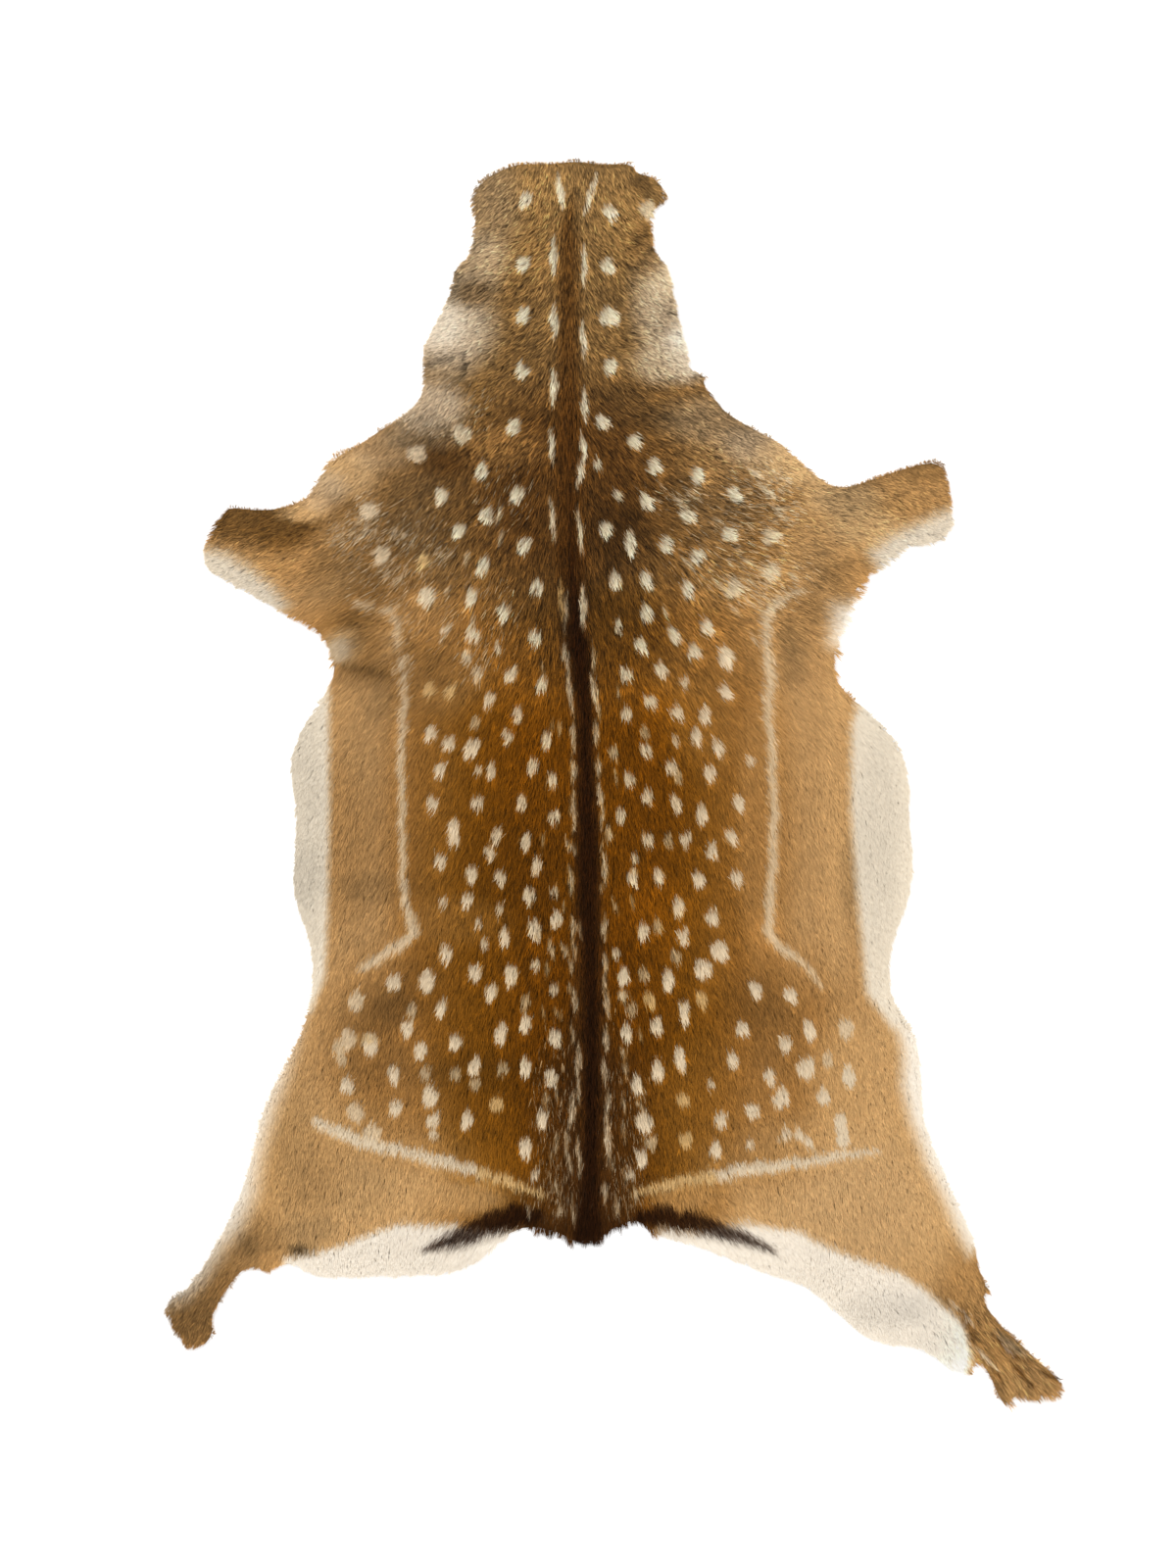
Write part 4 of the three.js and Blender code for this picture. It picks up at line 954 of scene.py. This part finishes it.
# The tone at a lock's root, at either side of its bend and at its tip: on plain hair, what
# banding adds and what white hair adds. The darker root is partly the darker underfur and
# partly painted shade down among the hair.
CORNER_TONES = [(0.76, -0.1, 0.22), (0.95, -0.12, 0), (0.95, -0.12, 0), (1.05, 0.24, -0.06)]
UNDERCOAT_TONE = 0.92
SEED = 11


def place_of(x, y):
    """The place on the hide, across and along, of a point."""
    return (x - low.x) * CENTIMETRES - LEFT_REACH, (high.y - y) * CENTIMETRES


def lock_roots(rng):
    """Places for the roots, one in each small square, at random in it."""
    x, y = np.meshgrid(
        np.arange(low.x, high.x, LOCK_PITCH), np.arange(low.y, high.y, LOCK_PITCH)
    )
    x = (x + rng.uniform(0, LOCK_PITCH, x.shape)).ravel()
    y = (y + rng.uniform(0, LOCK_PITCH, y.shape)).ravel()
    held = read(rim_chart, x, y) < -(SKIN_INSET + ROOT_MARGIN)
    return x[held], y[held]


def tufts_of(x, y, pitch, rng):
    """The tuft that each root belongs to, as a number and the offset to the tuft's middle."""
    columns = int((high.x - low.x) / pitch) + 4
    rows = int((high.y - low.y) / pitch) + 4
    jitter = rng.uniform(*TUFT_PLACES, (2, rows, columns))
    column = ((x - low.x) / pitch).astype(int) + 1
    row = ((y - low.y) / pitch).astype(int) + 1
    nearest = np.full(len(x), np.inf)
    tuft = np.zeros(len(x), int)
    offset = np.zeros((len(x), 2))
    for dr in (-1, 0, 1):
        for dc in (-1, 0, 1):
            r, c = row + dr, column + dc
            gx = low.x + (c - 1 + jitter[0, r, c]) * pitch - x
            gy = low.y + (r - 1 + jitter[1, r, c]) * pitch - y
            gap = gx * gx + gy * gy
            closer = gap < nearest
            nearest[closer] = gap[closer]
            tuft[closer] = (r * columns + c)[closer]
            offset[closer] = np.stack([gx, gy], 1)[closer]
    return tuft, offset


def linear(colour):
    """The light behind a colour as it looks, by the usual curve of screens."""
    return np.where(colour < 0.04045, colour / 12.92, ((colour + 0.055) / 1.055) ** 2.4)


def paleness(colour):
    """Nought for brown hair, one for white hair, and between them for what lies between."""
    return smooth_step(PALE_GAIN * colour[:, 1] - PALE_START)


def turned_out(x, y, lean, length, rng):
    """Leans and lengths, where some locks turn and stand out over the rim behind them."""
    count = len(x)
    out_x = read(rim_chart, x + SLOPE_PROBE, y) - read(rim_chart, x - SLOPE_PROBE, y)
    out_y = read(rim_chart, x, y + SLOPE_PROBE) - read(rim_chart, x, y - SLOPE_PROBE)
    inward = out_x * np.sin(lean) - out_y * np.cos(lean) < 0
    near = OUT_SHARE * smooth_step(OUT_START + read(rim_chart, x, y) / OUT_BAND)
    turned = inward & (rng.random(count) < near)
    outward = np.arctan2(out_x, -out_y) + rng.normal(0, OUT_SPREAD, count)
    lean = np.where(turned, outward, lean)
    length = np.where(turned, OUT_LENGTH * rng.uniform(*OUT_LIMITS, count), length)
    return lean, length


def trimmed(x, y, head, length, tuft_kind, rng):
    """Lengths, shortened where a tip would hang too far over the rim."""
    across, along = place_of(x, y)
    fringe = 0
    for ax, ay, radius, strength in FRINGES:
        away = np.hypot(across - ax, along - ay) / radius
        fringe = fringe + strength * smooth_step(PATCH_EDGE - away)
    fringe = fringe.clip(*FRINGE_LIMITS)
    reach = OVERHANG + OVERHANG_STRAY * rng.random(len(x)) - FRINGE_DRAW * fringe
    reach += (TUFT_REACH + FRINGE_REACH * fringe) * np.abs(tuft_kind)
    inside = read(rim_chart, x, y)
    for _ in range(TRIMS):
        tip_out = read(rim_chart, x + head[:, 0] * length, y + head[:, 1] * length)
        excess = np.maximum(tip_out - reach, 0)
        share = excess / np.maximum(tip_out - inside, LEAST_LENGTH)
        length = length * np.clip(1 - share, SHORTEST, 1)
    return length


def shaded(colour, pale, banded, tuft_kind, clump_kind, rng):
    """The colours at each lock's four corners."""
    grain, speckle = (
        (plain + bands * banded) * (1 - lost * pale) for plain, bands, lost in (GRAIN, SPECKLE)
    )
    shade = 1 + grain * rng.normal(0, 1, len(pale)) + speckle * clump_kind
    shade += TUFT_SHADE * (1 - pale) * tuft_kind
    colour = colour * np.clip(shade, *SHADE_LIMITS)[:, None]
    # Darker towards the root: partly the underfur, partly painted shade among the hair.
    tones = [plain + bands * banded + white * pale for plain, bands, white in CORNER_TONES]
    tones = np.stack(tones, 1)
    return linear(np.clip(colour[:, None, :] * tones[:, :, None], *COLOUR_LIMITS))


def grow_coat():
    """Every lock's four corners, their colours, its facing and its root's place along."""
    rng = np.random.default_rng(SEED)
    x, y = lock_roots(rng)
    count = len(x)
    across, along = place_of(x, y)
    lean, length = combed(across, along)
    tuft, offset = tufts_of(x, y, TUFT_PITCH, rng)
    tuft_kinds = rng.normal(0, 1, (3, tuft.max() + 1))[:, tuft]
    clump = tufts_of(x, y, CLUMP_PITCH, rng)[0]
    clump_kind = rng.normal(0, 1, clump.max() + 1)[clump]
    lean = lean + TUFT_SPREAD * tuft_kinds[0] + LOCK_SPREAD * rng.normal(0, 1, count)
    length = length * np.clip(rng.normal(*LENGTH_SPREAD, count), *LENGTH_LIMITS)
    lean, length = turned_out(x, y, lean, length, rng)
    head = np.stack([np.sin(lean), -np.cos(lean)], 1)
    length = trimmed(x, y, head, length, tuft_kinds[2], rng)

    root_z = read(under_chart, x, y) + SKIN_THICKNESS
    nap = np.maximum(read(top_chart, x, y) - root_z, LEAST_NAP)
    pale = paleness(coat_colour(across, along, rng))
    uneven = 1 - PALE_CALM * pale
    rise = nap * (NAP_FILL - rng.uniform(0, NAP_DIPS, count) * uneven)
    roll = rng.normal(0, ROLL, count) * uneven
    width = LOCK_WIDTH * rng.uniform(*WIDTH_LIMITS, count) * (1 + PALE_WIDTH * pale)
    gather = GATHER * offset
    side = np.stack([head[:, 1] * np.cos(roll), -head[:, 0] * np.cos(roll), np.sin(roll)], 1)
    root = np.column_stack([x, y, root_z - ROOT_DEPTH])
    bend = root.copy()
    bend[:, :2] += head * (BEND_AT * length)[:, None] + gather / 2
    bend[:, 2] += BEND_RISE * rise
    tip = root.copy()
    tip[:, :2] += head * length[:, None] + gather
    tip[:, 2] += rise
    half = side * (width / 2)[:, None]
    corners = np.stack([root, bend - half, bend + half, tip], 1)

    shown = place_of(x + head[:, 0] * length * SHOWS_AT, y + head[:, 1] * length * SHOWS_AT)
    strayed = [
        place + (LOCK_STRAY[i] * rng.normal(0, 1, count) + TUFT_STRAY[i] * tuft_kinds[1 + i])
        for i, place in enumerate(shown)
    ]
    colour = coat_colour(*strayed, rng)
    banded = sum(
        row[4] * smooth_step(AGOUTI_EDGE - patch(across, along, row)) for row in AGOUTI
    ).clip(0, 1)
    pale = paleness(colour)
    colours = shaded(colour, pale, banded, tuft_kinds[1], clump_kind, rng)
    tilt = rng.normal(0, TILT, count) * (1 - PALE_CALM * pale)
    facing = side * tilt[:, None] - FORWARD_TILT * np.column_stack([head, np.zeros(count)])
    facing[:, 2] = 1
    facing /= np.linalg.norm(facing, axis=1)[:, None]
    return corners, colours, facing, along


def hair_finish():
    """Short glossy hair: each lock's own colour, mottled along the hide."""
    hair, shader = new_finish("deer_hair", roughness=0.75, specular=0.05)
    place = add_node(hair, "ShaderNodeTexCoord")
    streaks = add_node(hair, "ShaderNodeTexNoise", Scale=55.0, Detail=3.0)
    spread = add_node(hair, "ShaderNodeMapRange", **{"To Min": 0.95, "To Max": 1.05})
    mottle = add_node(hair, "ShaderNodeVectorMath")
    mottle.operation = "SCALE"
    feed(place, "Object", streaks, "Vector")
    feed(streaks, "Fac", spread, "Value")
    feed(own_colour(hair), "Color", mottle, "Vector")
    feed(spread, "Result", mottle, "Scale")
    feed(mottle, "Vector", shader, "Base Color")
    return hair


def paint(mesh, colours):
    """Store a colour at each corner of a mesh."""
    layer = mesh.color_attributes.new(CORNER_COLOUR, "FLOAT_COLOR", "POINT")
    opaque = np.ones(len(colours))
    layer.data.foreach_set("color", np.column_stack([colours, opaque]).ravel())


def coat_piece(name, corners, colours, facing, finish):
    """One piece of the coat: its locks as one mesh, two triangles to a lock."""
    count = len(corners)
    mesh = bpy.data.meshes.new(name)
    first = 4 * np.arange(count)[:, None]
    triangles = np.concatenate([first + (0, 2, 1), first + (1, 2, 3)], 1).reshape(-1, 3)
    mesh.vertices.add(4 * count)
    mesh.vertices.foreach_set("co", corners.ravel())
    mesh.loops.add(triangles.size)
    mesh.loops.foreach_set("vertex_index", triangles.ravel())
    mesh.polygons.add(len(triangles))
    mesh.polygons.foreach_set("loop_start", np.arange(0, triangles.size, 3))
    mesh.update(calc_edges=True)
    paint(mesh, colours.reshape(-1, 3))
    flat = corners.reshape(-1, 3)[triangles.ravel(), :2]
    span = flat.max(0) - flat.min(0)
    laid = mesh.uv_layers.new(name="OFBake")
    laid.uv.foreach_set("vector", ((flat - flat.min(0)) / span).ravel())
    mesh.polygons.foreach_set("use_smooth", np.ones(len(triangles), bool))
    mesh.validate()
    mesh.normals_split_custom_set_from_vertices(np.repeat(facing, 4, axis=0).tolist())
    piece = bpy.data.objects.new(name, mesh)
    bpy.context.collection.objects.link(piece)
    piece.data.materials.append(finish)
    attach(piece, "root")
    return piece


corners, colours, facing, root_along = grow_coat()
deer_hair = hair_finish()
order = np.argsort(root_along, kind="stable")
for name, share in zip(COAT_PIECES, np.array_split(order, len(COAT_PIECES))):
    coat_piece(name, corners[share], colours[share], facing[share], deer_hair)
places = np.array([vertex.co[:2] for vertex in skin.data.vertices])
under_hair = coat_colour(*place_of(*places.T), np.random.default_rng(SEED))
paint(skin.data, linear(UNDERCOAT_TONE * under_hair))
